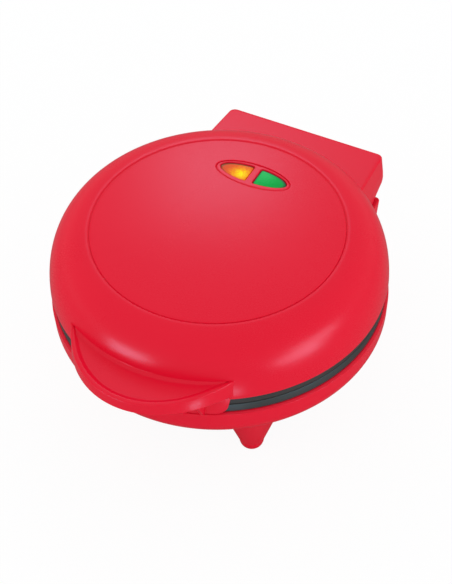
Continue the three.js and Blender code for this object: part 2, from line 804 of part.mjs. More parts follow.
function heatShield() {
  const top = shieldLevel + shieldThickness;
  const dish = turned([[0, shieldLevel], [shieldRadius - shieldRim, shieldLevel],
    [shieldRadius, shieldLevel - shieldRim], [shieldRadius, shieldLevel - shieldRim + shieldThickness],
    [shieldRadius - shieldRim, top], [0, top]], shieldSteps);
  const holes = corners(postX, postY).map(([x, y]) => (
    rod(shankRadius + 2 * gap, 0, top + overrun).translate([x, y, 0])));
  const slot = block(-shieldSlotWidth / 2, shieldSlotWidth / 2, elementLoopRadius - shieldSlotDepth / 2,
    elementLoopRadius + shieldSlotDepth / 2, 0, top + overrun);
  return cut(dish, rod(shieldCentreHole, 0, top + overrun), slot, ...holes);
}

// Screw with its head's underside at zero and its shank downwards
function screw(shank, length, head, headHeight) {
  const body = turned([[0, -length], [shank / 2, -length], [shank, -length + shank], [shank, 0], [head, 0],
    [head, headHeight / 2], [head * 3 / 4, headHeight], [0, headHeight]], screwSteps);
  const wide = head * recessWidthShare;
  const reach = head * recessReachShare / 2;
  const low = headHeight * (1 - recessDepthShare);
  return cut(body, block(-wide / 2, wide / 2, -reach, reach, low, headHeight + overrun));
}

const plateScrew = () => screw(shankRadius, plateScrewLength, plateScrewHeadRadius, plateScrewHeadHeight);

// Base: outer and inner profiles of ring, bowl and floor
function bowlProfile(inset) {
  const ringLow = platformTop - ringHeight;
  const ringRadius = bodyRadius - ringDraft;
  const centre = ringRadius - bowlRound;
  const round = arc(0, bowlSlope, bowlRoundSteps).map((angle) => [
    centre + (bowlRound - inset) * Math.cos(angle), ringLow - (bowlRound - inset) * Math.sin(angle)]);
  const [r, z] = round.at(-1);
  const floor = floorHeight + inset;
  return [...round, [r - (z - floor) * Math.tan(bowlSlope), floor], [0, floor]];
}

function baseOuter() {
  const top = [[0, baseTop], [bodyRadius - ledgeWidth, baseTop], [bodyRadius, platformTop]];
  return turned([...top, ...bowlProfile(0)]);
}

function baseInner() {
  const shelf = bodyRadius - ledgeWidth - shelfWidth;
  const under = baseTop - shelfWall;
  return turned([[0, baseTop + overrun], [shelf, baseTop + overrun], [shelf, under],
    [bodyRadius - ringDraft - wall, under - ringDraft * 2], ...bowlProfile(wall)]);
}

const footCone = (z) => footTipRadius + footFlareShare * (z - footTipRound);

// Foot with a rounded tip, widening up into the bowl
function footProfile() {
  const round = arc(0, Math.PI / 2, footTipSteps).map((angle) => [
    footFlatRadius + (footTipRadius - footFlatRadius) * Math.sin(angle),
    footPadProud + (footTipRound - footPadProud) * (1 - Math.cos(angle))]);
  return [[0, footPadProud], ...round, [footCone(footTop), footTop], [0, footTop]];
}

// Room inside a foot, above the recess for its pad
function footRoomProfile() {
  const low = footPadHeight + gap + wall / 2;
  const high = low + footTipRound;
  return [[0, low], [footFlatRadius - wall, low], [footCone(high) - wall, high],
    [footCone(footTop) - wall, footTop], [0, footTop]];
}

function platform() {
  const plan = taperedPlan(blockFront, platformRear, platformFrontHalf, platformRearHalf, platformCorner, 0);
  return upright(plan, 0, platformTop)
    .intersect(across(platformSide(0), -platformFrontHalf, platformFrontHalf));
}

function platformSide(inset) {
  const lowY = platformRear - (platformTop - platformFoot) * platformSlopeShare;
  return [[blockFront - inset, platformBase + inset], [platformHeel - inset, platformBase + inset],
    [lowY - inset, platformFoot + inset], [platformRear - inset, platformTop - inset],
    [blockFront - inset, platformTop - inset]];
}

function platformHollow() {
  const front = blockFront - wall;
  const plan = taperedPlan(front, platformRear, platformFrontHalf, platformRearHalf, platformCorner, wall);
  return upright(plan, 0, platformTop)
    .intersect(across(platformSide(wall), -platformFrontHalf, platformFrontHalf));
}

// Ear that rises from the platform to the hinge axis
function ear(from, to) {
  const low = platformTop - wall / 2;
  const inset = platformInset + gap / 2;
  const neck = [[hingeY - neckReach, low], [hingeY - inset, low], [hingeY - inset, hingeZ],
    [hingeY - knuckleRadius * Math.SQRT1_2, hingeZ + knuckleRadius * Math.SQRT1_2]];
  return cut(join(knuckle(from, to), across(neck, from, to)), pinHole(from - overrun, to + overrun));
}

function baseHousing() {
  const spots = corners(footX, footY);
  const feet = spots.map(([x, y]) => turned(footProfile(), footSteps).translate([x, y, 0]));
  const footRooms = spots.map(([x, y]) => (
    turned(footRoomProfile(), footSteps).translate([x, y, 0])));
  const padRooms = spots.map(([x, y]) => (
    rod(footPadRadius + gap, -overrun, footPadHeight + gap).translate([x, y, 0])));
  const postTop = lowerFace - postLevel;
  const posts = corners(postX, postY).map(([x, y]) => (
    rod(plateScrewHeadRadius + gap + wall / 2, floorHeight, postTop).translate([x, y, 0])));
  const wells = corners(postX, postY).map(([x, y]) => join(
    rod(plateScrewHeadRadius + gap, -overrun, lowerFace - screwSeat),
    rod(shankRadius + gap, floorHeight, postTop + overrun)).translate([x, y, 0]));
  const earFrom = lugInner + lugWidth + sideGap;
  const ears = [ear(earFrom, earFrom + earWidth), ear(-earFrom - earWidth, -earFrom)];
  const standTop = floorHeight + wall + terminalFoot;
  const stand = rod(terminalFootRadius, floorHeight, standTop).translate([0, terminalY, 0]);
  const standHole = rod(shankRadius + gap, floorHeight + wall / 2, standTop + overrun)
    .translate([0, terminalY, 0]);
  const outside = join(baseOuter(), platform(), ...feet);
  const inside = join(baseInner(), platformHollow(), ...footRooms);
  const shell = join(cut(outside, inside), glandBoss());
  const body = join(shell, ...posts, ...ears, stand);
  return cut(body, ...wells, ...padRooms, glandRoom(), standHole);
}

// Round boss in the rear face of the platform for the cord gland
function glandBoss() {
  const inner = glandBossFace - glandLength + glandFlangeHeight + gap;
  return alongY(rod(glandBossRadius, inner, glandBossFace, footSteps));
}

function glandRoom() {
  return alongY(rod(glandBody + gap, glandBossFace - glandLength - overrun, glandBossFace + overrun));
}

// Turns a body made along Z to lie along Y at the gland's height
function alongY(body) {
  return body.rotate([-90, 0, 0]).translate([0, 0, glandHeight]);
}

function gland() {
  const face = glandBossFace + gap;
  const inner = face - glandLength;
  const outer = face + glandFlangeHeight;
  const edge = glandFlangeHeight / 3;
  return alongY(turned([[glandBore, inner], [glandBody, inner], [glandBody, face], [glandFlange, face],
    [glandFlange, outer - edge], [glandFlange - edge, outer], [glandBore, outer]], glandSteps));
}

function footPad() {
  return rod(footPadRadius, 0, footPadHeight);
}

function terminalBlock() {
  const low = floorHeight + wall + terminalFoot + gap;
  const high = low + terminalTall;
  const body = block(-terminalLong / 2, terminalLong / 2,
    terminalY - terminalWide / 2, terminalY + terminalWide / 2, low, high);
  const slots = [-1, 1].map((side) => {
    const x = side * terminalLong / 3;
    return block(x - terminalSlotWide / 2, x + terminalSlotWide / 2, terminalY - terminalWide,
      terminalY + terminalWide, high - terminalSlotDeep, high + overrun);
  });
  const hole = rod(shankRadius + gap, 0, high + overrun);
  const well = rod(plateScrewHeadRadius + gap, high - terminalSlotDeep, high + overrun);
  return cut(body, ...slots, join(hole, well).translate([0, terminalY, 0]));
}

function thermostat() {
  const low = padHeight + gap;
  const stud = rod(shankRadius, low - thermostatStud, low);
  const body = join(rod(thermostatRadius, low, low + thermostatHeight), stud);
  const blades = [-1, 1].map((side) => {
    const x = side * bladeSpacing / 2;
    return block(x - bladeThick / 2, x + bladeThick / 2, -bladeWide / 2, bladeWide / 2,
      low + thermostatHeight - gap, low + thermostatHeight + bladeTall);
  });
  return join(body, ...blades);
}

function thermalFuse() {
  const half = fuseLength / 2;
  const lead = half + fuseLeadLength;
  return turned([[0, -lead], [fuseLeadRadius, -lead], [fuseLeadRadius, -half],
    [fuseRadius, -half + fuseLeadRadius], [fuseRadius, half], [fuseLeadRadius, half],
    [fuseLeadRadius, lead], [0, lead]], lampSteps);
}

// Spring clip that holds the fuse against the pad on the plate's back
function fuseClip() {
  const base = padHeight + gap;
  const near = fuseOffset - fuseRadius - gap;
  const far = fuseOffset + fuseRadius + gap;
  const roof = base + 2 * fuseRadius + gap;
  const side = [[-clipFoot, base], [near, base], [near, roof], [far, roof], [far, base + fuseRadius],
    [far + clipThick, base + fuseRadius], [far + clipThick, roof + clipThick],
    [near - clipThick, roof + clipThick], [near - clipThick, base + clipThick],
    [-clipFoot, base + clipThick]];
  return cut(across(side, -clipWide / 2, clipWide / 2), rod(shankRadius + gap, 0, overallHeight));
}

const appliance = new THREE.Group();
appliance.position.set(0, frontToAxis, 0);

// Adds a named piece, placed by a position and a rotation
function add(name, finish, body, position = [0, 0, 0], rotation = [0, 0, 0]) {
  const mesh = new THREE.Mesh(geometryOf(body), new THREE.MeshStandardMaterial(materials[finish]));
  mesh.name = name;
  mesh.position.set(...position);
  mesh.rotation.set(...rotation);
  appliance.add(mesh);
}

const turnedOver = [0, Math.PI, 0];
const sideNames = ['front_left', 'front_right', 'rear_left', 'rear_right'];

add('lid_housing', 'red', lidHousing());
add('lid_top_disc', 'red', topDisc());
add('indicator_bezel', 'red', setInCrown(bezel()));
add('power_lens', 'amber', setInCrown(lens(-1)));
add('ready_lens', 'green', setInCrown(lens(1)));
add('lamp_tray', 'ceramic', lampTray());
const lampLevel = deckUnder - trayHeight + trayWall + lampRadius;
add('power_lamp', 'lamp', lamp(), [-trayLong / 4 - lampLength / 2, bezelY, lampLevel], [0, Math.PI / 2, 0]);
add('ready_lamp', 'lamp', lamp(), [trayLong / 4 - lampLength / 2, bezelY, lampLevel], [0, Math.PI / 2, 0]);
for (const [side, x] of [['left', -trayScrewX], ['right', trayScrewX]]) {
  const trayScrew = screw(smallShankRadius, trayScrewLength, smallHeadRadius, smallHeadHeight);
  add(`lamp_tray_screw_${side}`, 'steel', trayScrew, [x, bezelY, deckTop + gap]);
}

add('upper_cooking_plate', 'plate', cookingPlate(), [0, 0, upperFace]);
add('upper_heating_element', 'steel', heatingElement(), [0, 0, upperFace]);
add('upper_heat_shield', 'sheet', heatShield(), [0, 0, upperFace]);
add('thermostat', 'ceramic', thermostat(), [0, 0, upperFace]);
corners(postX, postY).forEach(([x, y], i) => {
  add(`upper_plate_screw_${sideNames[i]}`, 'steel', plateScrew(), [x, y, upperFace + screwSeat + gap]);
});

add('lower_cooking_plate', 'plate', cookingPlate(), [0, 0, lowerFace], turnedOver);
add('lower_heating_element', 'steel', heatingElement(), [0, 0, lowerFace], turnedOver);
add('lower_heat_shield', 'sheet', heatShield(), [0, 0, lowerFace], turnedOver);
corners(postX, postY).forEach(([x, y], i) => {
  const place = [x, y, lowerFace - screwSeat - gap];
  add(`lower_plate_screw_${sideNames[i]}`, 'steel', plateScrew(), place, turnedOver);
});
add('thermal_fuse', 'ceramic', thermalFuse(), [0, fuseOffset, lowerFace - padHeight - gap - fuseRadius],
  [0, Math.PI / 2, 0]);
add('fuse_clip', 'steel', fuseClip(), [0, 0, lowerFace], turnedOver);
add('fuse_clip_screw', 'steel', screw(shankRadius, fuseScrewLength, smallHeadRadius, smallHeadHeight),
  [0, 0, lowerFace - padHeight - 2 * gap - clipThick], turnedOver);

add('base_housing', 'red', baseHousing());
corners(footX, footY).forEach(([x, y], i) => add(`foot_pad_${sideNames[i]}`, 'rubber', footPad(), [x, y, 0]));
add('cord_gland', 'black', gland());
add('terminal_block', 'ceramic', terminalBlock());
const terminalSeat = floorHeight + wall + terminalFoot + 2 * gap + terminalTall - terminalSlotDeep;
const terminalScrew = screw(shankRadius, terminalScrewLength, plateScrewHeadRadius - gap, smallHeadHeight);
add('terminal_block_screw', 'steel', terminalScrew, [0, terminalY, terminalSeat]);

const [pinFrom, pinTo] = pinSpan();
for (const [side, start] of [['left', -pinTo], ['right', pinFrom]]) {
  const pin = rod(pinRadius, 0, pinTo - pinFrom);
  add(`hinge_pin_${side}`, 'steel', pin, [start, hingeY, hingeZ], [0, Math.PI / 2, 0]);
}

export default appliance;
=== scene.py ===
import bpy
import bmesh
import numpy as np
from mathutils import Matrix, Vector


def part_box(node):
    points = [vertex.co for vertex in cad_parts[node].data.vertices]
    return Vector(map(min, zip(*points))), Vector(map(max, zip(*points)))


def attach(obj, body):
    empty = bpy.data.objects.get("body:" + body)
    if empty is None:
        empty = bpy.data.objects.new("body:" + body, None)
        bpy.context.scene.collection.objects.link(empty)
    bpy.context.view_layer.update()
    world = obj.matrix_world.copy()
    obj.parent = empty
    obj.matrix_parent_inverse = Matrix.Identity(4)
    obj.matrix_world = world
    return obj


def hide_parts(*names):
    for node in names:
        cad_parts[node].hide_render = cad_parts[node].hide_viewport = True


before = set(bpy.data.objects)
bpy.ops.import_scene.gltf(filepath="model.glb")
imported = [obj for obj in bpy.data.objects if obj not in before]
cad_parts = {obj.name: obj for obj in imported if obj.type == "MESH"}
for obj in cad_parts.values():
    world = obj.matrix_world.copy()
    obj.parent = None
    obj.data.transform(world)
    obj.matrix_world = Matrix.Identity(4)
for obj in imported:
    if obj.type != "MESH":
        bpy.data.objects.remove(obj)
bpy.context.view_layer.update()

# Camera: it stands in front of the handle and to its right, well above the lid, and is rolled a little.
# The turn, rise and roll come from the ellipses of the lid, and it looks at a point in the lid's seam.
mm, axis_y, lid_edge = 0.001, 1.0, 71.0
camera_turn, camera_rise, camera_roll = np.radians([28.34, 46.65, 2.32])
camera_distance, shift_right, shift_down, camera_lens = 1330.34, 3.835, 11.78, 141.78


def put(name, data, pose=None):
    """A new object in the scene, with the columns of a pose: its three axes and its place in metres."""
    made = bpy.data.objects.new(name, data)
    bpy.context.scene.collection.objects.link(made)
    if pose is not None:
        made.matrix_world = Matrix(np.concatenate([np.stack(pose, 1), [[0, 0, 0, 1]]]).tolist())
    return made


toward = np.array([np.sin(camera_turn) * np.cos(camera_rise),
                   -np.cos(camera_turn) * np.cos(camera_rise), np.sin(camera_rise)])
level = np.array([np.cos(camera_turn), np.sin(camera_turn), 0])
upward = np.cross(toward, level)
frame_right = np.cos(camera_roll) * level - np.sin(camera_roll) * upward
frame_up = np.sin(camera_roll) * level + np.cos(camera_roll) * upward
seam_centre = np.array([0, axis_y, lid_edge])
eye = seam_centre + camera_distance * toward + shift_right * frame_right - shift_down * frame_up
camera = put("view_camera", bpy.data.cameras.new("view_camera"), [frame_right, frame_up, toward, eye * mm])
camera.data.lens, camera.data.sensor_width, camera.data.clip_end = camera_lens, 36, 20
bpy.context.scene.camera = camera
bpy.context.scene.view_settings.view_transform = "Standard"


# Studio floor: a plain white sheet that keeps a faint shadow. Seen by the camera it is mostly its own
# white, the lamps light the rest of it, and in the object's gloss it mirrors darker.
class Wire:
    """A socket of a shader tree, on which the usual operators add the Math node that does the sum."""

    def __init__(self, tree, socket=None):
        self.tree, self.socket = tree, socket

    def node(self, kind, output, sockets=(), stops=(), **settings):
        """Any node, from its type, its settings, and the numbers, colours or wires of its sockets."""
        made = self.tree.nodes.new(kind)
        for name, value in settings.items():
            setattr(made, name, value)
        if stops:
            ramp = made.color_ramp
            while len(ramp.elements) < len(stops):
                ramp.elements.new(0.5)
            for element, (place, colour) in zip(ramp.elements, stops):
                element.position, element.color = place, colour
        for name, value in dict(sockets).items():
            if isinstance(value, Wire):
                self.tree.links.new(value.socket, made.inputs[name])
            else:
                made.inputs[name].default_value = value
        return Wire(self.tree, made.outputs[output])

    def maths(self, operation, *values):
        return self.node("ShaderNodeMath", 0, enumerate(values), operation=operation)

    def vector(self, operation, output, *values):
        return self.node("ShaderNodeVectorMath", output, enumerate(values), operation=operation)

    def __add__(self, other):
        return self.maths("ADD", self, other)

    def __sub__(self, other):
        return self.maths("SUBTRACT", self, other)

    def __rsub__(self, other):
        return self.maths("SUBTRACT", other, self)

    def __mul__(self, other):
        return self.maths("MULTIPLY", self, other)

    def __truediv__(self, other):
        return self.maths("DIVIDE", self, other)

    def __pow__(self, other):
        return self.maths("POWER", self, other)

    __radd__, __rmul__ = __add__, __mul__

    def clamped(self):
        return self.node("ShaderNodeClamp", 0, {0: self})

    def mix(self, share, first, second):
        """The first colour where the share is 0, and the second where it is 1."""
        return self.node("ShaderNodeMix", 2, {0: share, 6: first, 7: second}, data_type="RGBA")

    def ray(self, kind):
        """1 for rays of the kind, and 0 for all others."""
        return self.node("ShaderNodeLightPath", "Is " + kind + " Ray")

    def place(self):
        return self.node("ShaderNodeTexCoord", "Object")

    def noise(self, scale, detail=2.0, roughness=0.5, place=None):
        return self.node("ShaderNodeTexNoise", "Fac", {"Vector": place or self.place(), "Scale": scale,
                                                       "Detail": detail, "Roughness": roughness})

    def bump(self, height, distance, strength=1.0):
        return self.node("ShaderNodeBump", 0, {"Height": height, "Distance": distance, "Strength": strength})


def finish(name):
    """An empty material of the given name, and the wire on which its nodes are started."""
    material = bpy.data.materials.new(name)
    material.use_nodes = True
    material.node_tree.nodes.clear()
    return material, Wire(material.node_tree)


def close(wire, shader, kind="ShaderNodeOutputMaterial"):
    """Links a shader to the tree's output."""
    wire.tree.links.new(shader.socket, wire.tree.nodes.new(kind).inputs[0])


def surface(wire, **sockets):
    """Ends a material in one Principled shader with the given sockets."""
    names = {name.replace("_", " ").title().replace("Ior", "IOR"): value for name, value in sockets.items()}
    close(wire, wire.node("ShaderNodeBsdfPrincipled", 0, names))


floor_half, floor_glow, floor_mirror = 6.0, 0.94, 0.28
floor_finish, wire = finish("studio_white")
white = wire.node("ShaderNodeEmission", 0, {"Color": (1, 1, 1, 1), "Strength": 1.0})
paper_tone = (0.92 + 0.02 * wire.noise(3.0)) * (1 - (1 - floor_mirror) * wire.ray("Glossy"))
paper = wire.node("ShaderNodeBsdfDiffuse", 0, {"Color": wire.mix(paper_tone, (0, 0, 0, 1), (1, 1, 1, 1))})
close(wire, wire.node("ShaderNodeMixShader", 0, {0: wire.ray("Camera") * floor_glow, 1: paper, 2: white}))
floor_mesh = bpy.data.meshes.new("studio_floor")
floor_mesh.from_pydata([(x * floor_half, y * floor_half, 0) for x, y in ((-1, -1), (1, -1), (1, 1), (-1, 1))],
                       [], [(0, 1, 2, 3)])
floor_mesh.materials.append(floor_finish)
studio_floor = put("studio_floor", floor_mesh)

# Studio light: white all round, a little less from the camera's side, and weaker in the gloss. A soft box
# high behind the hinge draws the pale sheen over the disc, and low ones draw the spots on the flank.
room_light, gloss_light, camera_side, camera_way = 1.0, 0.50, 0.20, (0.41, -0.71, 0.574)
box_tone, box_aim = (0.62, 0.92, 1.25), [0, 0, 0.09]
world = bpy.data.worlds.new("studio")
world.use_nodes = True
world.node_tree.nodes.clear()
wire = Wire(world.node_tree)
direct = (wire.ray("Camera") + wire.ray("Transmission")).clamped()
sky = wire.node("ShaderNodeTexCoord", "Generated")
facing = wire.vector("DOT_PRODUCT", "Value", sky, camera_way).clamped()
room = room_light - camera_side * facing ** 2
strength = direct + (1 - direct) * (room + wire.ray("Glossy") * (gloss_light - room))
close(wire, wire.node("ShaderNodeBackground", 0, {"Color": (1, 1, 1, 1), "Strength": strength}),
      "ShaderNodeOutputWorld")
bpy.context.scene.world = world


def soft_box(name, turn, rise, distance, width, height, power, lights="both"):
    """A rectangular lamp that looks back at the lid from a turn about Z and a rise over the seam."""
    turn, rise = np.radians([turn, rise])
    aim = np.array([np.cos(turn) * np.cos(rise), np.sin(turn) * np.cos(rise), np.sin(rise)])
    side = np.array([-np.sin(turn), np.cos(turn), 0])
    lamp = bpy.data.lights.new(name, "AREA")
    lamp.shape, lamp.size, lamp.size_y, lamp.energy = "RECTANGLE", width, height, power
    if lights != "fill":
        lamp.color = box_tone
    box = put(name, lamp, [side, np.cross(aim, side), aim, aim * distance + box_aim])
    box.visible_diffuse, box.visible_glossy = lights != "gloss", lights != "fill"


soft_box("sheen_box", 118, 37, 1.6, 0.34, 0.42, 1.7)
soft_box("left_fill", -155, 6, 2.0, 1.6, 0.4, 5.0, "fill")
soft_box("right_fill", -5, 6, 2.0, 1.2, 0.5, 6.0, "fill")
soft_box("flank_spot_box", -6, 6, 1.5, 0.75, 0.36, 3.9, "gloss")
soft_box("flank_low_box", -20, -5, 0.45, 0.20, 0.09, 0.36, "gloss")
soft_box("streak_box", -113, -4, 0.38, 0.15, 0.09, 0.33, "gloss")
soft_box("skirt_box", -57.8, -19.6, 0.149, 0.016, 0.012, 0.0037, "gloss")


# Lid shell: the red outer moulding, with a bulging flank, a deck for the top disc and a round groove.
# It is injection moulded in glossy red plastic, 2.5 mm thick, with a window in the deck for the lamps.
body_radius, equator, wall = 98.0, 71.5, 2.5
flank_core, flank_bulge, flank_rise, flank_power = 72.0, 26.0, 35.2, 2.3
recess_radius, ring_edge, ring_width, ring_rise, groove_drop = 73.13, 75.4, 1.2, 0.02, 0.5
crown_top, crown_rise, deck_top, deck_under, deck_round = 110.0, 3.4, 103.8, 101.9, 0.4
hem_width, hem_drop, flank_overlap = 0.7, 0.5, 0.4
hole_long, hole_short, hole_power, window_y = 25.5, 10.5, 14, 45.6
window_centre = np.array([0, window_y])
around = 256


def skin(points):
    """Quads of a grid: each joins two neighbouring rows with two neighbouring columns."""
    rows, columns = points.shape[:2]
    first = (np.arange(rows - 1)[:, None] * columns + np.arange(columns - 1)).reshape(-1, 1)
    return first + np.array([0, 1, columns + 1, columns])


def piece(name, sheets, finish_of, body, stands_for, crease=38, halves=False):
    """One object from grids of points, in millimetres from the body's axis, in the slot of its finish.

    Doubled points are merged, so that seams and poles close, and the faces are turned outwards. With
    halves, the faces on the planes between mirrored halves go, and the halves grow together.
    """
    counts = [sheet.shape[0] * sheet.shape[1] for sheet in sheets]
    starts = np.cumsum([0] + counts[:-1])
    faces = np.concatenate([skin(sheet) + start for sheet, start in zip(sheets, starts)])
    points = np.concatenate([sheet.reshape(-1, 3) for sheet in sheets])
    if halves:
        inner = [np.all(np.abs(points[faces][:, :, side]) < 1e-4, axis=1) for side in (0, 1)]
        faces = faces[~(inner[0] | (inner[1] if halves == "quarters" else False))]
    mesh = bpy.data.meshes.new(name)
    mesh.from_pydata((points + [0, axis_y, 0]) * mm, [], faces.tolist())
    shape = bmesh.new()
    shape.from_mesh(mesh)
    bmesh.ops.remove_doubles(shape, verts=shape.verts, dist=4e-6)
    bmesh.ops.dissolve_degenerate(shape, edges=shape.edges, dist=1e-7)
    loose = [vertex for vertex in shape.verts if not vertex.link_faces]
    bmesh.ops.delete(shape, geom=loose, context="VERTS")
    bmesh.ops.recalc_face_normals(shape, faces=shape.faces)
    shape.to_mesh(mesh)
    shape.free()
    mesh.polygons.foreach_set("use_smooth", np.ones(len(mesh.polygons), bool))
    mesh.set_sharp_from_angle(angle=np.radians(crease))
    mesh.materials.append(finish_of)
    made = put(name, mesh)
    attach(made, body)
    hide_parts(stands_for)


def at(*axes):
    """Points from their coordinates, each an array or one number for all."""
    return np.stack(np.broadcast_arrays(*axes), -1)


def on_circle(angle, radius=1.0):
    """Points in plan at an angle: x = r cos a, y = r sin a."""
    return at(radius * np.cos(angle), radius * np.sin(angle))


def raised(plan, height):
    """Points in plan given a height."""
    return at(plan[..., 0], plan[..., 1], height)


def blend(first, last, share):
    """The first where the share is 0, the last where it is 1, and evenly between them."""
    return first * (1 - share) + last * share


def rounded(corners, radii, steps=6):
    """A closed outline whose corners are arcs.

    The arc of radius R at a corner of angle A starts R / tan(A / 2) along both sides, and its points
    turn about a centre on the corner's halving line, R / sin(A / 2) from the corner.
    """
    corners = np.asarray(corners, float)
    radii = np.broadcast_to(np.asarray(radii, float), corners.shape[:-1])[..., None]
    ahead = np.roll(corners, -1, axis=-2) - corners
    back = np.roll(corners, 1, axis=-2) - corners
    ahead /= np.linalg.norm(ahead, axis=-1, keepdims=True)
    back /= np.linalg.norm(back, axis=-1, keepdims=True)
    half = np.arccos(np.clip((ahead * back).sum(-1, keepdims=True), -1, 1)) / 2
    half = np.clip(half, 1e-3, np.pi / 2 - 1e-4)
    middle = ahead + back + 1e-12
    centre = corners + middle / np.linalg.norm(middle, axis=-1, keepdims=True) * radii / np.sin(half)
    start = corners + back * radii / np.tan(half) - centre
    end = corners + ahead * radii / np.tan(half) - centre
    turn = (np.pi - 2 * half)[..., None, :]
    share = np.linspace(0, 1, steps)[:, None]
    arcs = np.sin((1 - share) * turn) * start[..., None, :] + np.sin(share * turn) * end[..., None, :]
    arcs = centre[..., None, :] + arcs / np.sin(turn)
    return arcs.reshape(corners.shape[:-2] + (-1, corners.shape[-1]))


def turned(profile, steps=around, centre=(0, 0)):
    """A profile of (radius, height) carried round an upright axis: x = r cos a, y = r sin a."""
    profile = np.asarray(profile, float)
    plan = on_circle(np.linspace(0, 2 * np.pi, steps + 1)[:, None], profile[..., 0])
    return raised(plan + centre, profile[..., 1])


def flank(angle, inset=0.0):
    """Superellipse of the flank: cos and sin of the angle, each to the power 2 / 2.3."""
    share = 2 / flank_power
    return at(flank_core + (flank_bulge - inset) * np.cos(angle) ** share,
              equator + (flank_rise - inset) * np.sin(angle) ** share)


def flank_end(radius):
    """The angle at which the superellipse has come in to a radius."""
    return np.arccos(((radius - flank_core) / flank_bulge) ** (flank_power / 2))


def window_hole(rim, half_long, half_short, power):
    """Where the line from the window's centre to a rim point meets |x / a|^n + |y / b|^n = 1."""
    ray = rim - window_centre
    size = (np.abs(ray[:, 0]) / half_long) ** power + (np.abs(ray[:, 1]) / half_short) ** power
    return window_centre + ray * size[:, None] ** (-1 / power)


def spread_out(inner, outer, shares, height):
    """Rows at one height between two closed lines in plan, at shares of the way."""
    return raised(blend(inner[:, None], outer[:, None], np.array(shares)[:, None]), height)


# Each corner of an outline has six points, and those of its open ends are left off.
outer_flank = flank(np.linspace(0, 1, 64) ** 0.8 * flank_end(ring_edge + flank_overlap))
ring_height = flank(flank_end(ring_edge))[1]
groove_edge = rounded([outer_flank[-1], (ring_edge, ring_height),
                       (ring_edge - ring_width, ring_height + ring_rise),
                       (recess_radius, crown_top - crown_rise - groove_drop), (recess_radius, deck_top)],
                      [0, 0.4, 0.5, 0.05, 0])[6:24]
quarter = np.linspace(0, np.pi / 2, 7)
lid_hem = at(body_radius - hem_width * (1 - np.sin(quarter)), equator - hem_drop * np.cos(quarter))
deck_fillet = rounded([(recess_radius, deck_top + 1), (recess_radius, deck_top),
                       (recess_radius - 3, deck_top)], [0, deck_round, 0])[6:12]
inner_end = np.arcsin(((deck_under - equator) / (flank_rise - wall)) ** (flank_power / 2))
inner_flank = flank(np.linspace(inner_end, 0, 32), wall)
outside = np.concatenate([deck_fillet[::-1], groove_edge[::-1], outer_flank[::-1], lid_hem[::-1],
                          inner_flank[-1:] - [0, equator - lid_edge], inner_flank[::-1]])
circle = on_circle(np.linspace(0, 2 * np.pi, around + 1))
deck_rim = circle * (recess_radius - deck_round)
deck_hole = window_hole(deck_rim, hole_long, hole_short, hole_power)
top_rows = spread_out(deck_hole, deck_rim, [0, 0.1, 0.5, 1], deck_top)
under_rows = spread_out(deck_hole, circle * inner_flank[0, 0], [1, 0.5, 0.1, 0], deck_under)
lid_grid = np.concatenate([top_rows, turned(outside), under_rows, top_rows[:, :1]], 1)

red_plastic, wire = finish("glossy_red_plastic")
cloud = wire.noise(14.0, 3.0)
grain = wire.noise(2600.0)
ripple = wire.noise(60.0, 1.0)
red_tone = wire.mix(cloud, (0.765, 0.0028, 0.0250, 1), (0.80, 0.0042, 0.0290, 1))
surface(wire, base_color=red_tone, roughness=0.23 + 0.07 * cloud + 0.03 * grain, ior=1.4,
        specular_ior_level=0.34, normal=wire.bump(ripple + 0.05 * grain, 0.00004, 0.5))
piece("lid_shell", [lid_grid], red_plastic, "lid", "lid_housing")

# Top disc: a crowned red plate that is pressed into the lid's groove, with an oval opening for the
# indicator windows near the hinge. Its rounded edge makes a fine groove with the ring of the lid.
disc_radius, disc_thickness, disc_round, disc_foot_round = 73.1, 2.2, 0.5, 0.2
bezel_long, bezel_short, bezel_gap = 23.4, 9.6, 0.1


def crown(x, y):
    """Paraboloid of the disc: the rise falls off with the square of the distance from the axis."""
    return crown_top - crown_rise * (x ** 2 + y ** 2) / disc_radius ** 2


def crowned(plan, depth):
    """Points in plan set at a height over the crown's surface."""
    return raised(plan, crown(plan[..., 0], plan[..., 1]) + depth)


disc_rim = circle * disc_radius
disc_hole = window_hole(disc_rim, bezel_long + bezel_gap, bezel_short + bezel_gap, 2)
disc_width = np.linalg.norm(disc_rim - disc_hole, axis=1)
corners = np.zeros((around + 1, 4, 2))
corners[:, 2:, 0] = disc_width[:, None]
corners[:, [0, 3], 1] = -disc_thickness
edges = rounded(corners, [disc_foot_round, disc_round, disc_round, disc_foot_round]).reshape(-1, 4, 6, 2)
middle = np.linspace(0.02, 0.98, 48)[:, None]
top_run = blend(edges[:, 1, -1:], edges[:, 2, :1], middle)
under_run = blend(edges[:, 3, -1:], edges[:, 0, :1], middle[::8])
section = np.concatenate([edges[:, 0], edges[:, 1], top_run, edges[:, 2], edges[:, 3], under_run,
                          edges[:, 0, :1]], 1)
disc_plan = blend(disc_hole[:, None], disc_rim[:, None], section[..., :1] / disc_width[:, None, None])
piece("top_disc", [crowned(disc_plan, section[..., 1])], red_plastic, "lid", "lid_top_disc")

# Indicator bezel: a red oval frame with two D-shaped windows and a bar between them, moulded in one and
# held from below. It lies a little under the disc, and its inner edges slope down to the lenses.
bezel_depth, bezel_foot, outer_bevel, outer_fall, inner_bevel, inner_fall = 0.25, -4.2, 0.9, 0.4, 0.6, 0.55
pane_long, pane_short, bar_half, pane_centre, pane_shift, pane_soft = 21.0, 6.9, 2.2, 10.5, 0.8, 14.0


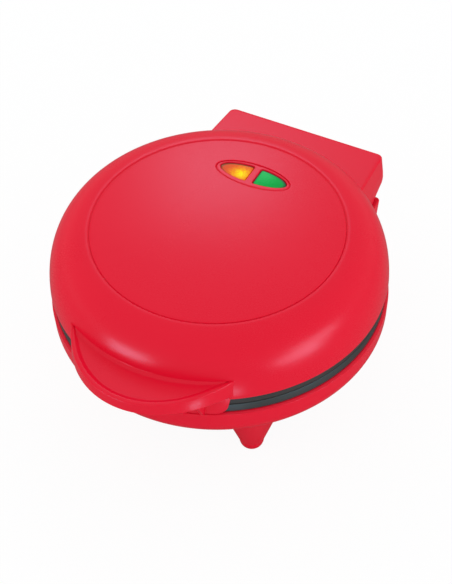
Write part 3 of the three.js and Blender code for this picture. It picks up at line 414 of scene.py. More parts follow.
def pane(angle, long, short, bar, softness=None):
    """D outline seen from a point between the bar and the ellipse's end.

    With a the distance to the ellipse, b that to the bar's straight line and t the smaller of them, the
    reach is the soft minimum t ((a / t)^-n + (b / t)^-n)^(-1 / n), so that a lower n rounds the corners.
    """
    x, y = np.cos(angle), np.sin(angle)
    square = x ** 2 / long ** 2 + y ** 2 / short ** 2
    cross = pane_centre * x / long ** 2
    to_ellipse = (-cross + np.sqrt(cross ** 2 - square * (pane_centre ** 2 / long ** 2 - 1))) / square
    to_bar = np.where(x < -1e-6, (bar - pane_centre) / np.minimum(x, -1e-6), 1e6)
    reach = np.minimum(to_ellipse, to_bar)
    if softness:
        reach = reach * ((to_ellipse / reach) ** -softness + (to_bar / reach) ** -softness) ** (-1 / softness)
    return at(pane_centre + reach * x, reach * y)


corner_angle = np.arctan2(bezel_short, -pane_centre)
pane_angles = np.concatenate([np.linspace(-corner_angle, corner_angle, 145),
                              np.linspace(corner_angle, 2 * np.pi - corner_angle, 81)[1:]])
oval = pane(pane_angles, bezel_long, bezel_short, 0.0)
oval[np.abs(oval[:, 0]) < 0.02, 0] = 0
lens_line = pane(pane_angles, pane_long, pane_short, bar_half, pane_soft) + [0, pane_shift]
frame_width = np.linalg.norm(oval - lens_line, axis=1)


def frame_row(share, depth=None):
    """A row between the lens opening and the oval, at a given depth or on the frame's top.

    The top is flat, less (1 - d / w)^2 within w of the oval and of the lens. The distance to the oval is
    (1 - e) / |grad e|, with e^2 = (x / a)^2 + (y / b)^2.
    """
    plan = blend(lens_line, oval, share)
    if depth is None:
        x, y = plan[:, 0], plan[:, 1]
        level_line = np.hypot(x / bezel_long, y / bezel_short)
        steep = np.hypot(x / bezel_long ** 2, y / bezel_short ** 2) / level_line
        outward = np.clip((1 - level_line) / steep / outer_bevel, 0, 1)
        inward = np.clip(share * frame_width / inner_bevel, 0, 1)
        depth = -bezel_depth - outer_fall * (1 - outward) ** 2 - inner_fall * (1 - inward) ** 2
    return crowned(plan + window_centre, depth)


frame_shares = [0, 0.04, 0.09, 0.15, 0.22, 0.30, 0.42, 0.54, 0.62, 0.70, 0.78, 0.85, 0.91, 0.96, 1]
half_bezel = np.stack([frame_row(0, bezel_foot), *(frame_row(share) for share in frame_shares),
                       frame_row(1, bezel_foot), frame_row(0, bezel_foot)])
piece("indicator_frame", [half_bezel, half_bezel * [-1, 1, 1]], red_plastic, "lid", "indicator_bezel",
      halves="halves")

# Lenses: two clear plastic windows, amber on the left for power and green on the right for ready. Each
# is a little domed and has fine prisms on its face. The lamp's glow through it is painted into its colour
# and emission, and the shade at its edges is painted too.
window_depth, lens_low, dome, lens_gap, prism_pitch, prism_height = 0.62, -3.6, 0.30, 0.28, 1.1, 0.07
# Lens shading: the place in the oval, and where the painted shade at the lens's rim and beside the bar
# begins.
in_shares, oval_centre, rim_shade_start, bar_shade_start = (48.2, 147.0, 0), (0, -6.85, 0), 0.91, 0.17


def lens_grid(side):
    """D outline drawn in to its middle, with a dome, small prisms and a rounded edge."""
    outline = pane(pane_angles, pane_long - lens_gap, pane_short - lens_gap, bar_half + lens_gap, pane_soft)
    heart = np.array([pane_centre, 0])
    shares = np.concatenate([[1, 1, 0.985, 0.96, 0.92], np.linspace(0.9, 0, 60)])
    drops = np.full_like(shares, -window_depth)
    drops[:3] = [lens_low, -window_depth - 0.35, -window_depth - 0.1]
    plan = heart + (outline - heart) * shares[:, None, None] + [0.12, pane_shift - 0.3]
    rise = dome * (1 - np.minimum(shares / 0.96, 1) ** 2)
    waves = np.cos(2 * np.pi * plan / prism_pitch)
    prisms = prism_height * waves[..., 0] * waves[..., 1] * (shares < 0.93)[:, None]
    plan = plan * [side, 1] + window_centre
    grid = crowned(plan, (drops + rise)[:, None] + prisms)
    floor = crowned(np.broadcast_to(grid[-1, 0, :2], plan[:1].shape), lens_low)
    return np.concatenate([floor, grid])


def lens_finish(name, tones, painted_shade_tone, bar_shade, glow_at, glow_size, fade):
    """Coloured clear plastic, mottled by a fine mesh, with a painted glow toward the lamp and painted shade
    at the rim.

    The share of the painted glow is (1 - d / size)^fade, with d the distance from the lamp's brightest place;
    it lightens the colour and drives an emission. The painted shade at the edge follows the place in the
    oval, whose x and y are shares of its half lengths.
    """
    material, wire = finish(name)
    # Painted glow: the lens gets lighter and emits toward the lamp's place, standing in for the lamp's light
    # through it.
    painted_glow_share = (1 - wire.vector("DISTANCE", "Value", wire.place(), glow_at) / glow_size).clamped() ** fade
    mesh_grain = wire.noise(1300.0, 3.0, 0.7)
    painted_glow_tone = (painted_glow_share + (mesh_grain - 0.5) * (0.6 + 1.2 * painted_glow_share)).clamped()
    in_oval = wire.vector("MULTIPLY_ADD", 0, wire.place(), in_shares, oval_centre)
    # Painted shade: the lens darkens to the edge tone along the rim of its opening and beside the bar, where
    # the frame's wall would shade it.
    painted_rim_shade = ((wire.vector("LENGTH", "Value", in_oval) - rim_shade_start) * 14).clamped()
    painted_bar_shade = ((bar_shade_start - wire.node("ShaderNodeSeparateXYZ", 0, {0: in_oval})) * bar_shade).clamped()
    tone = wire.node("ShaderNodeValToRGB", 0, {0: painted_glow_tone}, stops=tones)
    tone = wire.mix((painted_rim_shade + painted_bar_shade).clamped() * 0.95, tone, painted_shade_tone)
    # The emission carries the painted glow.
    surface(wire, base_color=tone, roughness=0.16 + 0.1 * mesh_grain, ior=1.49, specular_ior_level=0.12,
            emission_color=wire.mix(0.3 + 0.7 * painted_glow_share, (0, 0, 0, 1), tone), emission_strength=0.22,
            normal=wire.bump(mesh_grain, 0.00012, 0.35))
    return material


# The light stops of each ramp are the painted lamp glow, and the dark colour after the ramp is the painted
# shade at the edges.
amber = lens_finish("amber_clear_plastic", [
    (0.0, (0.68, 0.070, 0.016, 1)), (0.30, (0.78, 0.125, 0.018, 1)), (0.60, (0.86, 0.36, 0.006, 1)),
    (0.88, (0.90, 0.70, 0.003, 1))], (0.15, 0.08, 0.03, 1), 0.0, (-0.0070, 0.0450, 0.1085), 0.0125, 1.4)
green = lens_finish("green_clear_plastic", [
    (0.0, (0.0, 0.30, 0.045, 1)), (0.45, (0.0, 0.37, 0.055, 1)), (0.85, (0.022, 0.43, 0.10, 1))],
    (0.03, 0.11, 0.055, 1), 34.0, (0.0055, 0.0505, 0.1085), 0.016, 1.0)
piece("power_window", [lens_grid(-1)], amber, "lid", "power_lens")
piece("ready_window", [lens_grid(1)], green, "lid", "ready_lens")

# Handle: a crescent that grows out of the flank, hollowed like a dish behind a raised rim, with a skirt
# in front. It is moulded in one with the lid, and its tips run out into the flank.
tip_angle, tip_radius, handle_reach, curve_power = 0.59, 95.2, 25.8, 1.12
rim_height, rim_width, dish_depth, back_rise, plate = 85.0, 2.5, 1.5, 0.3, 2.4
skirt_height, skirt_lift, skirt_draft, fillet_width, fillet_power = 7.3, 6.6, 0.5, 2.4, 2.6
root_depth, lid_clear = 1.2, 0.4


def flank_radius(height):
    """The flank's superellipse solved for the radius at a height."""
    share = np.clip((height - equator) / flank_rise, 0, 1) ** flank_power
    return flank_core + flank_bulge * (1 - share) ** (1 / flank_power)


def handle_reach_at(angle):
    """Fullness is the cosine of the angle stretched to end at the tips; the reach follows its power."""
    full = np.cos(np.clip(angle / tip_angle, -1, 1) * np.pi / 2)
    return full, tip_radius + handle_reach * full ** curve_power


def round_front(section, angle):
    """Turns (radius, height) to a point at an angle from the front."""
    return raised(on_circle(angle, section[..., 0])[..., ::-1] * [1, -1], section[..., 1])


def capped(grid):
    """The grid and a fan over each of its ends, drawn in to the end's middle."""
    return [grid, *(np.stack([end, np.broadcast_to(end.mean(0), end.shape)]) for end in (grid[0], grid[-1]))]


handle_angle = tip_angle * np.sin(np.linspace(-1, 1, 145) * np.pi / 2 * 0.985)
full, outer = handle_reach_at(handle_angle)
back_height = rim_height + back_rise * full
back = flank_radius(back_height)
dish = rim_height - dish_depth * full
under = dish - plate
foot = np.maximum(rim_height - skirt_height - skirt_lift * (1 - np.sqrt(full)), lid_edge + lid_clear)
front = np.maximum(outer - rim_width, back - 0.5)
outer = np.maximum(outer, front + 0.15)
skirt = outer + skirt_draft
span = front - back
rim_slope = np.clip(span / 3, 0.02, 2.4)
run_out = np.clip(span - rim_slope, 0.02, None)[:, None]
slope_along = np.linspace(0, 1, 26)[None] ** 1.6
slope_share = np.minimum(slope_along * run_out / np.minimum(fillet_width, run_out), 1)
dish_run = at(back[:, None] + run_out * slope_along - 0.05,
              blend(back_height[:, None], dish[:, None], 1 - (1 - slope_share) ** fillet_power))
rim_corners = np.stack([at(front - rim_slope, dish), at(front, rim_height), at(outer, rim_height),
                        at(skirt, foot), at(np.maximum(skirt - plate, back - 0.9), foot),
                        at(np.maximum(outer - plate, back - 1.0), under), at(back - root_depth, under)], 1)
thin = np.minimum(outer - front, rim_width)
rim_radii = np.array([3.0, 1.2, 0.7, 0.6, 0.6, 1.0, 0.01]) * np.clip(thin / rim_width, 0.02, 1)[:, None]
sink = at(back - root_depth, back_height)[:, None]
handle_section = np.concatenate([sink, dish_run, rounded(rim_corners, rim_radii), sink], 1)
piece("crescent_handle", capped(round_front(handle_section, handle_angle[:, None])), red_plastic, "lid",
      "lid_housing")

# Apron and ribs: a thin wall that hangs from the lid's edge under the handle and hides the plates, and
# six tapered ribs that tie it to the handle, either side of the room for the fingers. Both are moulded
# with the lid in its red plastic.
apron_inner, apron_outer, apron_bottom, apron_top = 96.9, 98.7, 60.0, 72.8
apron_angle, apron_corner, apron_lean, apron_middle = 0.515, 5.5, 0.055, 66.0
apron_angles = apron_angle * np.sin(np.linspace(-1, 1, 97) * np.pi / 2)
past = np.clip(1 - (apron_angle - np.abs(apron_angles)) * apron_inner / apron_corner, 0, 1)
apron_low = apron_bottom + apron_corner * (1 - np.sqrt(1 - past ** 2 * 0.9999))
apron_high = np.full_like(apron_low, apron_top)


def looped(line):
    """A line, or a row of lines, closed by its first point."""
    return np.concatenate([line, line[..., :1, :]], -2)


apron_section = looped(rounded(np.stack([at(apron_inner, apron_low), at(apron_outer, apron_low),
                                         at(apron_outer, apron_high), at(apron_inner, apron_high)], 1),
                               [0.3, 0.6, 0.2, 0.2]))
apron_spread = 1 + apron_lean * (apron_section[..., 1] - apron_middle) / (apron_top - apron_bottom)
apron_grid = round_front(apron_section, apron_angles[:, None] * apron_spread)
piece("lid_apron", capped(apron_grid), red_plastic, "lid", "lid_housing")


def prism(outline, low, high, edge, taper=None):
    """An outline in Y and Z pushed along X, with edges rounded by drawing it in along an arc.

    taper gives, for each point of the outline, a factor on its distance from the prism's middle.
    """
    outline = np.asarray(outline, float)
    ahead = np.roll(outline, -1, axis=0) - np.roll(outline, 1, axis=0)
    normal = np.stack([ahead[:, 1], -ahead[:, 0]], -1) / np.linalg.norm(ahead, axis=1)[:, None]
    spin = np.sign((outline * np.roll(np.roll(outline, -1, axis=0), 1, axis=1) * [1, -1]).sum())
    turn = np.linspace(0, np.pi / 2, 5)
    draw_in = np.concatenate([edge * (1 - np.sin(turn)), edge * (1 - np.cos(turn))])
    push = np.concatenate([[low], low + edge * (1 - np.cos(turn)), high - edge * (1 - np.sin(turn)), [high]])
    heart = np.broadcast_to(outline.mean(0), (1,) + outline.shape)
    plan = looped(np.concatenate([heart, outline - normal * draw_in[:, None, None] * spin, heart]))
    push = push[:, None]
    if taper is not None:
        push = (low + high) / 2 + (push - (low + high) / 2) * taper(plan)
    return at(push, plan[..., 0], plan[..., 1])


rib_foot, rib_top, rib_tip, rib_half, rib_thick, rib_edge = 60.3, 81.3, 76.8, 0.9, 2.1, 0.4
rib_slim, rib_swell, rib_rise = 1.1, 1.3, 8.0
rib_foot_radius, rib_root_radius, rib_tip_inset = 100.3, 97.8, 1.4
rib_sheets = []
for rib_x in (-36, -26.5, -17, 17, 26.5, 36):
    # The handle's reach over the rib's outer side is found by repeating: it depends on its own angle.
    rib_side = abs(rib_x) + rib_thick
    rib_reach = 115.0
    for _ in range(12):
        rib_reach = handle_reach_at(np.arcsin(rib_side / rib_reach))[1]
    tip_y = -np.sqrt((rib_reach - rib_tip_inset) ** 2 - rib_side ** 2)
    root_y, heel_y = (-np.sqrt(radius ** 2 - rib_x ** 2) for radius in (rib_root_radius, rib_foot_radius))
    rib_line = rounded([(root_y, rib_foot), (root_y, rib_top), (tip_y, rib_top), (tip_y, rib_tip),
                        (heel_y, rib_foot)], [0.2, 0.2, 0.2, 0.6, 0.5], 8)
    rib_sheets.append(prism(rib_line, rib_x - rib_half, rib_x + rib_half, rib_edge, lambda plan: (
        rib_slim + rib_swell * np.clip((plan[..., 1] - rib_foot) / rib_rise, 0, 1))))
piece("handle_ribs", rib_sheets, red_plastic, "lid", "lid_housing")

# Hinge block: the slab behind the lid that hides the hinge. It is moulded in one with the shell, open
# below, with rounded corners, and its top slopes down to the back.
block_top_front, block_top_rear, block_front, block_rear = 85.8, 82.0, 78.0, 119.0
block_half_rear, block_lean, block_corner, block_round = 50.9, 0.055, 3.8, 1.2
block_bottom, block_step, block_ramp, block_flare, block_curl = 59.3, 63.3, [98.0, 112.5], 1.0, 2.8
block_reach_low, block_reach, block_reach_top, seam_share, over_seam = 97.9, 95.6, 95.4, 0.388, 0.389


def horseshoe(reach, rear, half, lean, corner):
    """Plan of a box whose open front meets a circle about the axis.

    Each side runs from the circle of radius reach straight to a rounded rear corner, leaning outwards
    to the front, and the corners are joined by a straight back. All inputs may be rows of values.
    """
    reach, rear, half = (np.asarray(value, float).reshape(-1, 1, 1) for value in (reach, rear, half))
    arc = on_circle(np.linspace(lean, np.pi / 2, 10))
    bend = np.concatenate([half - corner * np.cos(lean), rear - corner], -1) + corner * arc
    last = bend[:, :1]
    ahead = np.array([np.sin(lean), -np.cos(lean)])
    along = (last * ahead).sum(-1, keepdims=True)
    far = -along - np.sqrt(along ** 2 - (last ** 2).sum(-1, keepdims=True) + reach ** 2)
    side = last + ahead * far * np.linspace(1, 0, 30)[:, None]
    right = np.concatenate([side, bend[:, 1:]], 1)
    left = right[:, ::-1] * [-1, 1]
    back_line = blend(right[:, -1:], left[:, :1], np.linspace(0, 1, 16)[1:-1, None])
    return np.concatenate([right, back_line, left], 1)


def block_top(y):
    """The slab's top falls in a straight line from front to back."""
    return blend(block_top_front, block_top_rear, (y - block_front) / (block_rear - block_front))


def box_end(last, reach, height, rows):
    """The flat of a box end: rows from its outline to the arc on which it meets the round body."""
    x = np.linspace(last[0, 0], last[-1, 0], len(last))
    arc = at(x, np.sqrt(np.maximum(reach ** 2 - x ** 2, 0)))
    arc[[0, -1]] = last[[0, -1]]
    plan = blend(last, arc, np.linspace(0, 1, rows)[1:, None, None])
    return raised(plan, height(plan[..., 1]))


turn = np.linspace(0, np.pi / 2, 8)
low_levels = np.array([0, 0.015, 0.04, 0.08, 0.13, 0.19, seam_share, over_seam, 0.5, 0.75])
wall_levels = np.concatenate([low_levels, 1 + 0 * turn])
wall_insets = np.concatenate([0 * low_levels, block_round * (1 - np.cos(turn))])
wall_drops = np.concatenate([block_round + 0 * low_levels, block_round * (1 - np.sin(turn))])
flare = block_flare * np.clip((1 - wall_levels) / 0.7, 0, 1)
curl = block_curl * (1 - np.sqrt(1 - np.clip(1 - wall_levels / 0.21, 0, 1) ** 2))
reaches = np.where(wall_levels < over_seam, block_reach_low, block_reach)


def block_wall(rear, half, corner, drop):
    """A wall of the block: a ramp below, then up to the lid's edge, and on to the top less a drop."""
    plan = horseshoe(reaches, rear, half, block_lean, corner)
    y, share = plan[..., 1], wall_levels[:, None]
    low = np.interp(y, block_ramp, [block_bottom, block_step])
    below = blend(low, lid_edge, np.minimum(share / seam_share, 1))
    above = blend(lid_edge, block_top(y) - drop, np.clip((share - over_seam) / (1 - over_seam), 0, 1))
    return raised(plan, np.where(share <= seam_share, below, above))


outer_wall = block_wall(block_rear - wall_insets - curl, block_half_rear - wall_insets + flare, block_corner,
                        wall_drops[:, None])
inner_wall = block_wall(block_rear - np.maximum(wall, curl + 0.9), block_half_rear - wall + flare,
                        block_corner - wall, wall)
outer_top = box_end(outer_wall[-1, :, :2], block_reach_top, block_top, 14)
inner_top = box_end(inner_wall[-1, :, :2], block_reach_top, lambda y: block_top(y) - wall, 14)
block_grid = np.concatenate([outer_wall, outer_top, inner_top[::-1], inner_wall[::-1], outer_wall[:1]])
block_ends = [np.stack([outer_wall[:, end], inner_wall[:, end]]) for end in (0, -1)]
piece("hinge_block", [block_grid, *block_ends], red_plastic, "lid", "lid_housing")

# Hinge lugs of the lid: flat webs that hang in the block with an eye for each pin, and a short boss on
# each side wall that takes the pin's outer end. They are moulded with the block in red plastic.
hinge, knuckle, lug_cover, hinge_edge = np.array([109.0, 64.0]), 5.0, 1.2, 0.4
lug_span, pin_boss_span = (30.0, 34.0), (43.4, 49.2)
eye_line = hinge + on_circle(np.linspace(0, 2 * np.pi, 33)[:-1], knuckle)
lug_line = np.concatenate([hinge + on_circle(np.linspace(np.pi, 2 * np.pi, 25), knuckle),
                           [(y, block_top(y) - lug_cover) for y in (hinge[0] + knuckle, hinge[0] - knuckle)]])
lug_sheets = [prism(line, *span, hinge_edge) * [side, 1, 1] for side in (-1, 1)
              for line, span in ((lug_line, lug_span), (eye_line, pin_boss_span))]
piece("lid_lugs", lug_sheets, red_plastic, "lid", "lid_housing")

# Cooking plates: two die-cast aluminium plates with half-moon pockets and a dark non-stick coat. Their
# rims meet in the seam and show as the dark band between lid and base.
plate_radius, plate_rim_height, plate_rim_width, plate_skin = 96.2, 5.55, 7.0, 3.0
plate_seam, plate_gap = 65.0, 0.15
pocket_radius, pocket_corner, divider_half, pocket_depth, pocket_draft = 81.0, 11.0, 5.0, 10.0, 0.16
pocket_lip, pocket_bend, pocket_wall = 0.6, 3.0, 2.6
pocket_side = pocket_depth - pocket_bend
boss_radius, boss_height, hole_radius, post_x, post_y = 5.0, 20.2, 2.2, 37.24, 27.0
corner_x = divider_half + pocket_corner
corner_y = np.sqrt((pocket_radius - pocket_corner) ** 2 - corner_x ** 2)
corner_turn = np.arctan2(corner_y, corner_x)
rim_points, corner_points, bar_points = 113, 24, 40
bar_start = rim_points + corner_points
rim_arc = np.linspace(-corner_turn, corner_turn, rim_points)
bar_line = np.linspace(corner_y, -corner_y, bar_points + 1)[1:]


def half_turn(reach, bar):
    """Directions along the half-moon: its rim, a corner that turns on to reach, the bar, and a corner."""
    bend = np.linspace(corner_turn, reach, corner_points + 1)
    return np.concatenate([rim_arc, bend[1:], np.full(bar_points, bar), -bend[-2::-1]])


moon_turn, edge_turn = half_turn(np.pi, np.pi), half_turn(np.pi / 2, 0.0)
moon_size = np.where(np.arange(len(moon_turn)) < rim_points, pocket_radius, pocket_corner)
moon_centre = np.zeros((len(moon_turn), 2))
bend_y = np.full(corner_points, corner_y)
moon_centre[rim_points:] = at(corner_x, np.concatenate([bend_y, bar_line, -bend_y]))


def moon(inset, height):
    """Half-moon line drawn in by an inset: each point moves towards the centre of its own arc."""
    return raised(moon_centre + on_circle(moon_turn, moon_size - inset), height)


def half_round(radius, height):
    """Half a circle closed by its diameter, with a point for each point of the half-moon."""
    plan = on_circle(edge_turn, radius)
    plan[bar_start - 1:bar_start + bar_points] = at(0, radius * np.append(corner_y, bar_line) / corner_y)
    return raised(plan, height)


pocket_rows = [moon(pocket_lip * (np.sin(turn) - 1), pocket_lip * (1 - np.cos(turn)))
               for turn in np.linspace(0, np.pi / 2, 5)]
pocket_rows += [moon(pocket_draft * pocket_side + pocket_bend * (1 - np.cos(turn)),
                     pocket_side + pocket_bend * np.sin(turn)) for turn in quarter]
pocket_heart = np.array([42.0, 0.0, pocket_depth])
floor_rows = [blend(pocket_rows[-1], pocket_heart, share) for share in (1.0, 0.85, 0.6, 0.3)]
front_rows = [half_round(plate_radius - inset, height) for inset, height in (
    (1.2, 0.0), (0.6, 0.0), (0.16, 0.17), (0.0, 0.6), (0.0, plate_rim_height - 0.2), (0.2, plate_rim_height),
    (plate_rim_width, plate_rim_height), (plate_rim_width + 0.3, plate_skin))]
back_rows = [moon(inset, height) for inset, height in (
    (-pocket_wall - 1.0, plate_skin), (-pocket_wall, plate_skin + 1.0),
    (-pocket_wall + pocket_draft * 9, 9.4), (1.6, 12.0), (4.4, pocket_depth + pocket_wall))]
back_rows += [blend(back_rows[-1], pocket_heart + [0, 0, pocket_wall], share) for share in (0.5, 1.0)]
half_plate = np.stack(floor_rows + pocket_rows[::-1] + front_rows + back_rows)
posts = [(x * post_x, y * post_y) for y in (1, -1) for x in (1, -1)]
boss_line = looped(rounded([(hole_radius, 12.0), (hole_radius, boss_height), (boss_radius, boss_height),
                            (boss_radius, 12.0)], [0, 0.3, 0.4, 0]))
pad_line = looped(rounded([(hole_radius, 2.6), (hole_radius, 15.0), (9.0, 15.0), (9.0, 11.2), (4.8, 8.5),
                           (4.8, 2.6)], [0, 0.3, 0.5, 0, 0, 0]))
plate_sheets = [half_plate, half_plate * [-1, 1, 1], *(turned(boss_line, 40, post) for post in posts),
                turned(pad_line, 48)]

coated, wire = finish("dark_non_stick_coat")
speckle = wire.noise(1800.0, 2.0, 0.6)
coat_share = wire.noise(22.0) * 0.6 + speckle * 0.4
coat_tone = wire.mix(coat_share, (0.028, 0.036, 0.034, 1), (0.058, 0.070, 0.067, 1))
surface(wire, base_color=coat_tone, metallic=0.25, roughness=0.40 + 0.12 * speckle, specular_ior_level=0.5,
        normal=wire.bump(speckle, 0.00003, 0.5))
plate_sides = [("above", "upper", "lid", 1), ("below", "lower", "base", -1)]


def from_seam(sheets, way):
    """Shapes made upwards from a plate's face, set up or down from the seam."""
    return [sheet * [1, 1, way] + [0, 0, plate_seam + way * plate_gap] for sheet in sheets]


for side, node, body, way in plate_sides:
    piece("plate_" + side, from_seam(plate_sheets, way), coated, body, node + "_cooking_plate",
          halves="halves")

# Base bowl: a ledge round the lower plate, a nearly upright ring, and a bowl that draws in at 45 degrees
# to a flat floor with four wells for the plate screws. Moulded in the same red plastic.
base_top, ledge_z, ring_low, ring_radius, bowl_round, bowl_bend = 59.0, 58.2, 50.2, 97.4, 14.0, 93.3
floor_z, floor_radius, floor_inner = 13.0, 66.0, 15.5


def bowl_points(inset):
    """Quarter-round from the ring into the cone, then the cone down to the floor's level."""
    swing = np.linspace(0, -np.pi / 4, 12)
    bend = [ring_radius - bowl_round, ring_low] + on_circle(swing, bowl_round - inset)
    end = np.array([bend[-1, 0] - (bend[-1, 1] - floor_z - inset), floor_z + inset])
    return np.concatenate([bend, blend(bend[-1], end, np.linspace(0, 1, 12)[1:, None])])


def bowl_height(plan):
    """Outer height of the bowl at a place in plan: floor, cone, then the quarter-round."""
    radius = np.linalg.norm(plan, axis=-1)
    cone = floor_z + radius - floor_radius
    bend = ring_low - np.sqrt(np.clip(bowl_round ** 2 - (radius - ring_radius + bowl_round) ** 2, 0, None))
    return np.where(radius < floor_radius, floor_z, np.where(radius < bowl_bend, cone, bend))


outer_bowl, inner_bowl = bowl_points(0), bowl_points(wall)
shelf = rounded([(ring_radius - wall, base_top - 3.6), (89.6, base_top - 2.4), (89.6, base_top),
                 (96.6, base_top), (98.0, ledge_z), (ring_radius, ring_low)], [0, 0.4, 0.3, 0.3, 0.3, 0])
bowl_grid = turned(np.concatenate([inner_bowl[::-1], shelf, outer_bowl]))


def quarter_line(radius):
    """Quarter circle closed by its two straight sides."""
    arc = on_circle(np.linspace(0, np.pi / 2, around // 4 + 1), radius)
    share = np.linspace(0, 1, 13)
    return np.concatenate([arc, at(0, radius * share[-2::-1]), at(radius * share[1:-1], 0), arc[:1]])


floor_edge = quarter_line(floor_radius)
rays = floor_edge - [post_x, post_y]
rays /= np.linalg.norm(rays, axis=1)[:, None]
well_rows = [raised(rays * radius + [post_x, post_y], height) for radius, height in (
    (9.0, floor_z), (4.6, floor_z), (4.2, floor_z + 0.15), (4.1, floor_z + 0.5), (4.1, 40.25), (2.2, 40.25),
    (2.2, 43.25), (5.1, 43.25), (5.35, 43.0), (5.35, 16.5), (6.0, 15.7), (7.0, floor_inner))]
floor_quarter = np.stack([raised(floor_edge, floor_z), *well_rows,
                          raised(quarter_line(inner_bowl[-1, 0]), floor_inner)])
quarters = [floor_quarter * [x, y, 1] for x in (-1, 1) for y in (-1, 1)]
piece("base_bowl", [bowl_grid, *quarters], red_plastic, "base", "base_housing", halves="quarters")

# Screw posts: round posts moulded under the lid's deck, each with a well for a screw's head and a hole
# for its shank, and a low stand for the terminal block on the floor of the base.
post_foot, well_floor, well_radius, post_bite, stand_y, stand_top = 86.75, 89.75, 4.1, 0.6, 42.0, 18.5
post_end = deck_under + post_bite
post_line = looped(rounded([(hole_radius, post_foot), (boss_radius, post_foot), (boss_radius, post_end),
                            (well_radius, post_end), (well_radius, well_floor), (hole_radius, well_floor)],
                           [0.2, 0.4, 0, 0, 0.3, 0.2]))
piece("lid_screw_posts", [turned(post_line, 40, post) for post in posts], red_plastic, "lid", "lid_housing")
stand_line = rounded([(0, floor_z + 1), (boss_radius, floor_z + 1), (boss_radius, stand_top), (0, stand_top)],
                     [0, 0, 0.4, 0])
piece("terminal_stand", [turned(stand_line, 40, (0, stand_y))], red_plastic, "base", "base_housing")

# Feet: four round tapering feet of the same red plastic, moulded with the bowl. Their tips are rounded
# and hollow, and each holds a rubber pad.
foot_x, foot_y, foot_tip, foot_flare, foot_neck, tip_height = 46.5, 55.0, 7.2, 0.345, 0.9, 6.0
pad_hole, tip_low = 4.0, 0.6
feet = [(x * foot_x, y * foot_y) for y in (-1, 1) for x in (-1, 1)]
tip_swing = np.linspace(0, np.pi / 2, 9)
tip_profile = at(blend(pad_hole, foot_tip, np.sin(tip_swing)), blend(tip_height, tip_low, np.cos(tip_swing)))
pad_room = rounded([(0, 2.6), (3.7, 2.6), (3.7, tip_low), (pad_hole, tip_low)], [0, 0.2, 0.1, 0], 4)


def foot_radius(height, joint):
    """Cone above the tip, with a small flare where it runs into the bowl."""
    return foot_tip + foot_flare * (height - tip_height) + foot_neck * np.exp(height - joint)


foot_sheets = []
way = np.linspace(0, 2 * np.pi, 73)
rise = 1 - (1 - np.linspace(0, 1, 40)[:, None]) ** 1.6
for centre in feet:
    # The height at which the foot meets the bowl is found by going half way to the bowl each time.
    joint = np.full_like(way, 25.0)
    for _ in range(40):
        joint = (joint + bowl_height(centre + on_circle(way, foot_radius(joint, joint)))) / 2
    height = tip_height + (joint + 0.9 - tip_height) * rise
    radius = foot_radius(np.minimum(height, joint), joint)
    cap_plan = centre + on_circle(way, radius[-1] * np.linspace(1, 0, 8)[1:, None])
    foot_sheets.append(np.concatenate([
        turned(np.concatenate([pad_room, tip_profile]), 72, centre).transpose(1, 0, 2),
        raised(centre + on_circle(way, radius), height), raised(cap_plan, bowl_height(cap_plan) + 1.2)]))
piece("base_feet", foot_sheets, red_plastic, "base", "base_housing")

# Rear platform: the box behind the bowl that carries the hinge and the cord's gland, moulded with it in
# red plastic. It draws in downwards, and its underside runs forward into the bowl.
platform_half, platform_lean, platform_corner, platform_round = 54.6, 0.0517, 2.6, 0.6
platform_rear, platform_draw_in, platform_low, platform_reach = 107.0, 0.4, 32.0, 96.0
knee_z, knee_rear, low_rear, ear_foot, ear_span = 38.0, 98.9, 86.0, 57.6, (34.5, 42.9)
levels = np.concatenate([ledge_z - platform_round * (1 - np.sin(turn[::-1])), np.linspace(57.2, 38.8, 12),
                         [38.2, 37.4, 34.7, 32.6, platform_low]])
insets = np.concatenate([platform_round * (1 - np.cos(turn[::-1])), np.zeros(12),
                         [0.05, 0.35, 0.6, 0.9, 1.4]])
underside = blend(low_rear, knee_rear, (levels - platform_low) / (knee_z - platform_low))
rears = np.where(levels > knee_z, platform_rear - platform_draw_in * (ledge_z - levels), underside) - insets
bowl_at = np.interp(levels, outer_bowl[::-1, 1], outer_bowl[::-1, 0])
bowl_at = np.where(levels > ring_low, ring_radius, bowl_at) - 1.2
platform_wall = raised(horseshoe(bowl_at, rears, platform_half - insets, platform_lean, platform_corner),
                       levels[:, None])
platform_top = box_end(platform_wall[0, :, :2], platform_reach, lambda y: ledge_z, 10)
platform_under = box_end(platform_wall[-1, :, :2], bowl_at[-1], lambda y: platform_low, 10)
side_x, side_y, side_z = platform_wall[:, 0].T[..., None]
front_x = side_x * np.linspace(1, -1, platform_wall.shape[1])
front_face = at(front_x, np.sqrt(np.maximum(side_x ** 2 + side_y ** 2 - front_x ** 2, 0)), side_z)
platform_top[-1], platform_under[-1] = front_face[0], front_face[-1]
platform_grid = np.concatenate([platform_top[::-1], platform_wall, platform_under, front_face[::-1]])
ear_line = np.concatenate([[(98.0, ear_foot), (106.85, ear_foot)],
                           hinge + on_circle(np.linspace(-2.016, 2.356, 28), knuckle)])
ear_sheets = [prism(ear_line, *ear_span, hinge_edge) * [side, 1, 1] for side in (-1, 1)]
piece("rear_platform", [platform_grid, *ear_sheets], red_plastic, "base", "base_housing")

# Hinge pins: two short steel pins on the lid's axis, each through a lug, an ear and a side boss. They
# are turned with small chamfers and pressed into the lid.


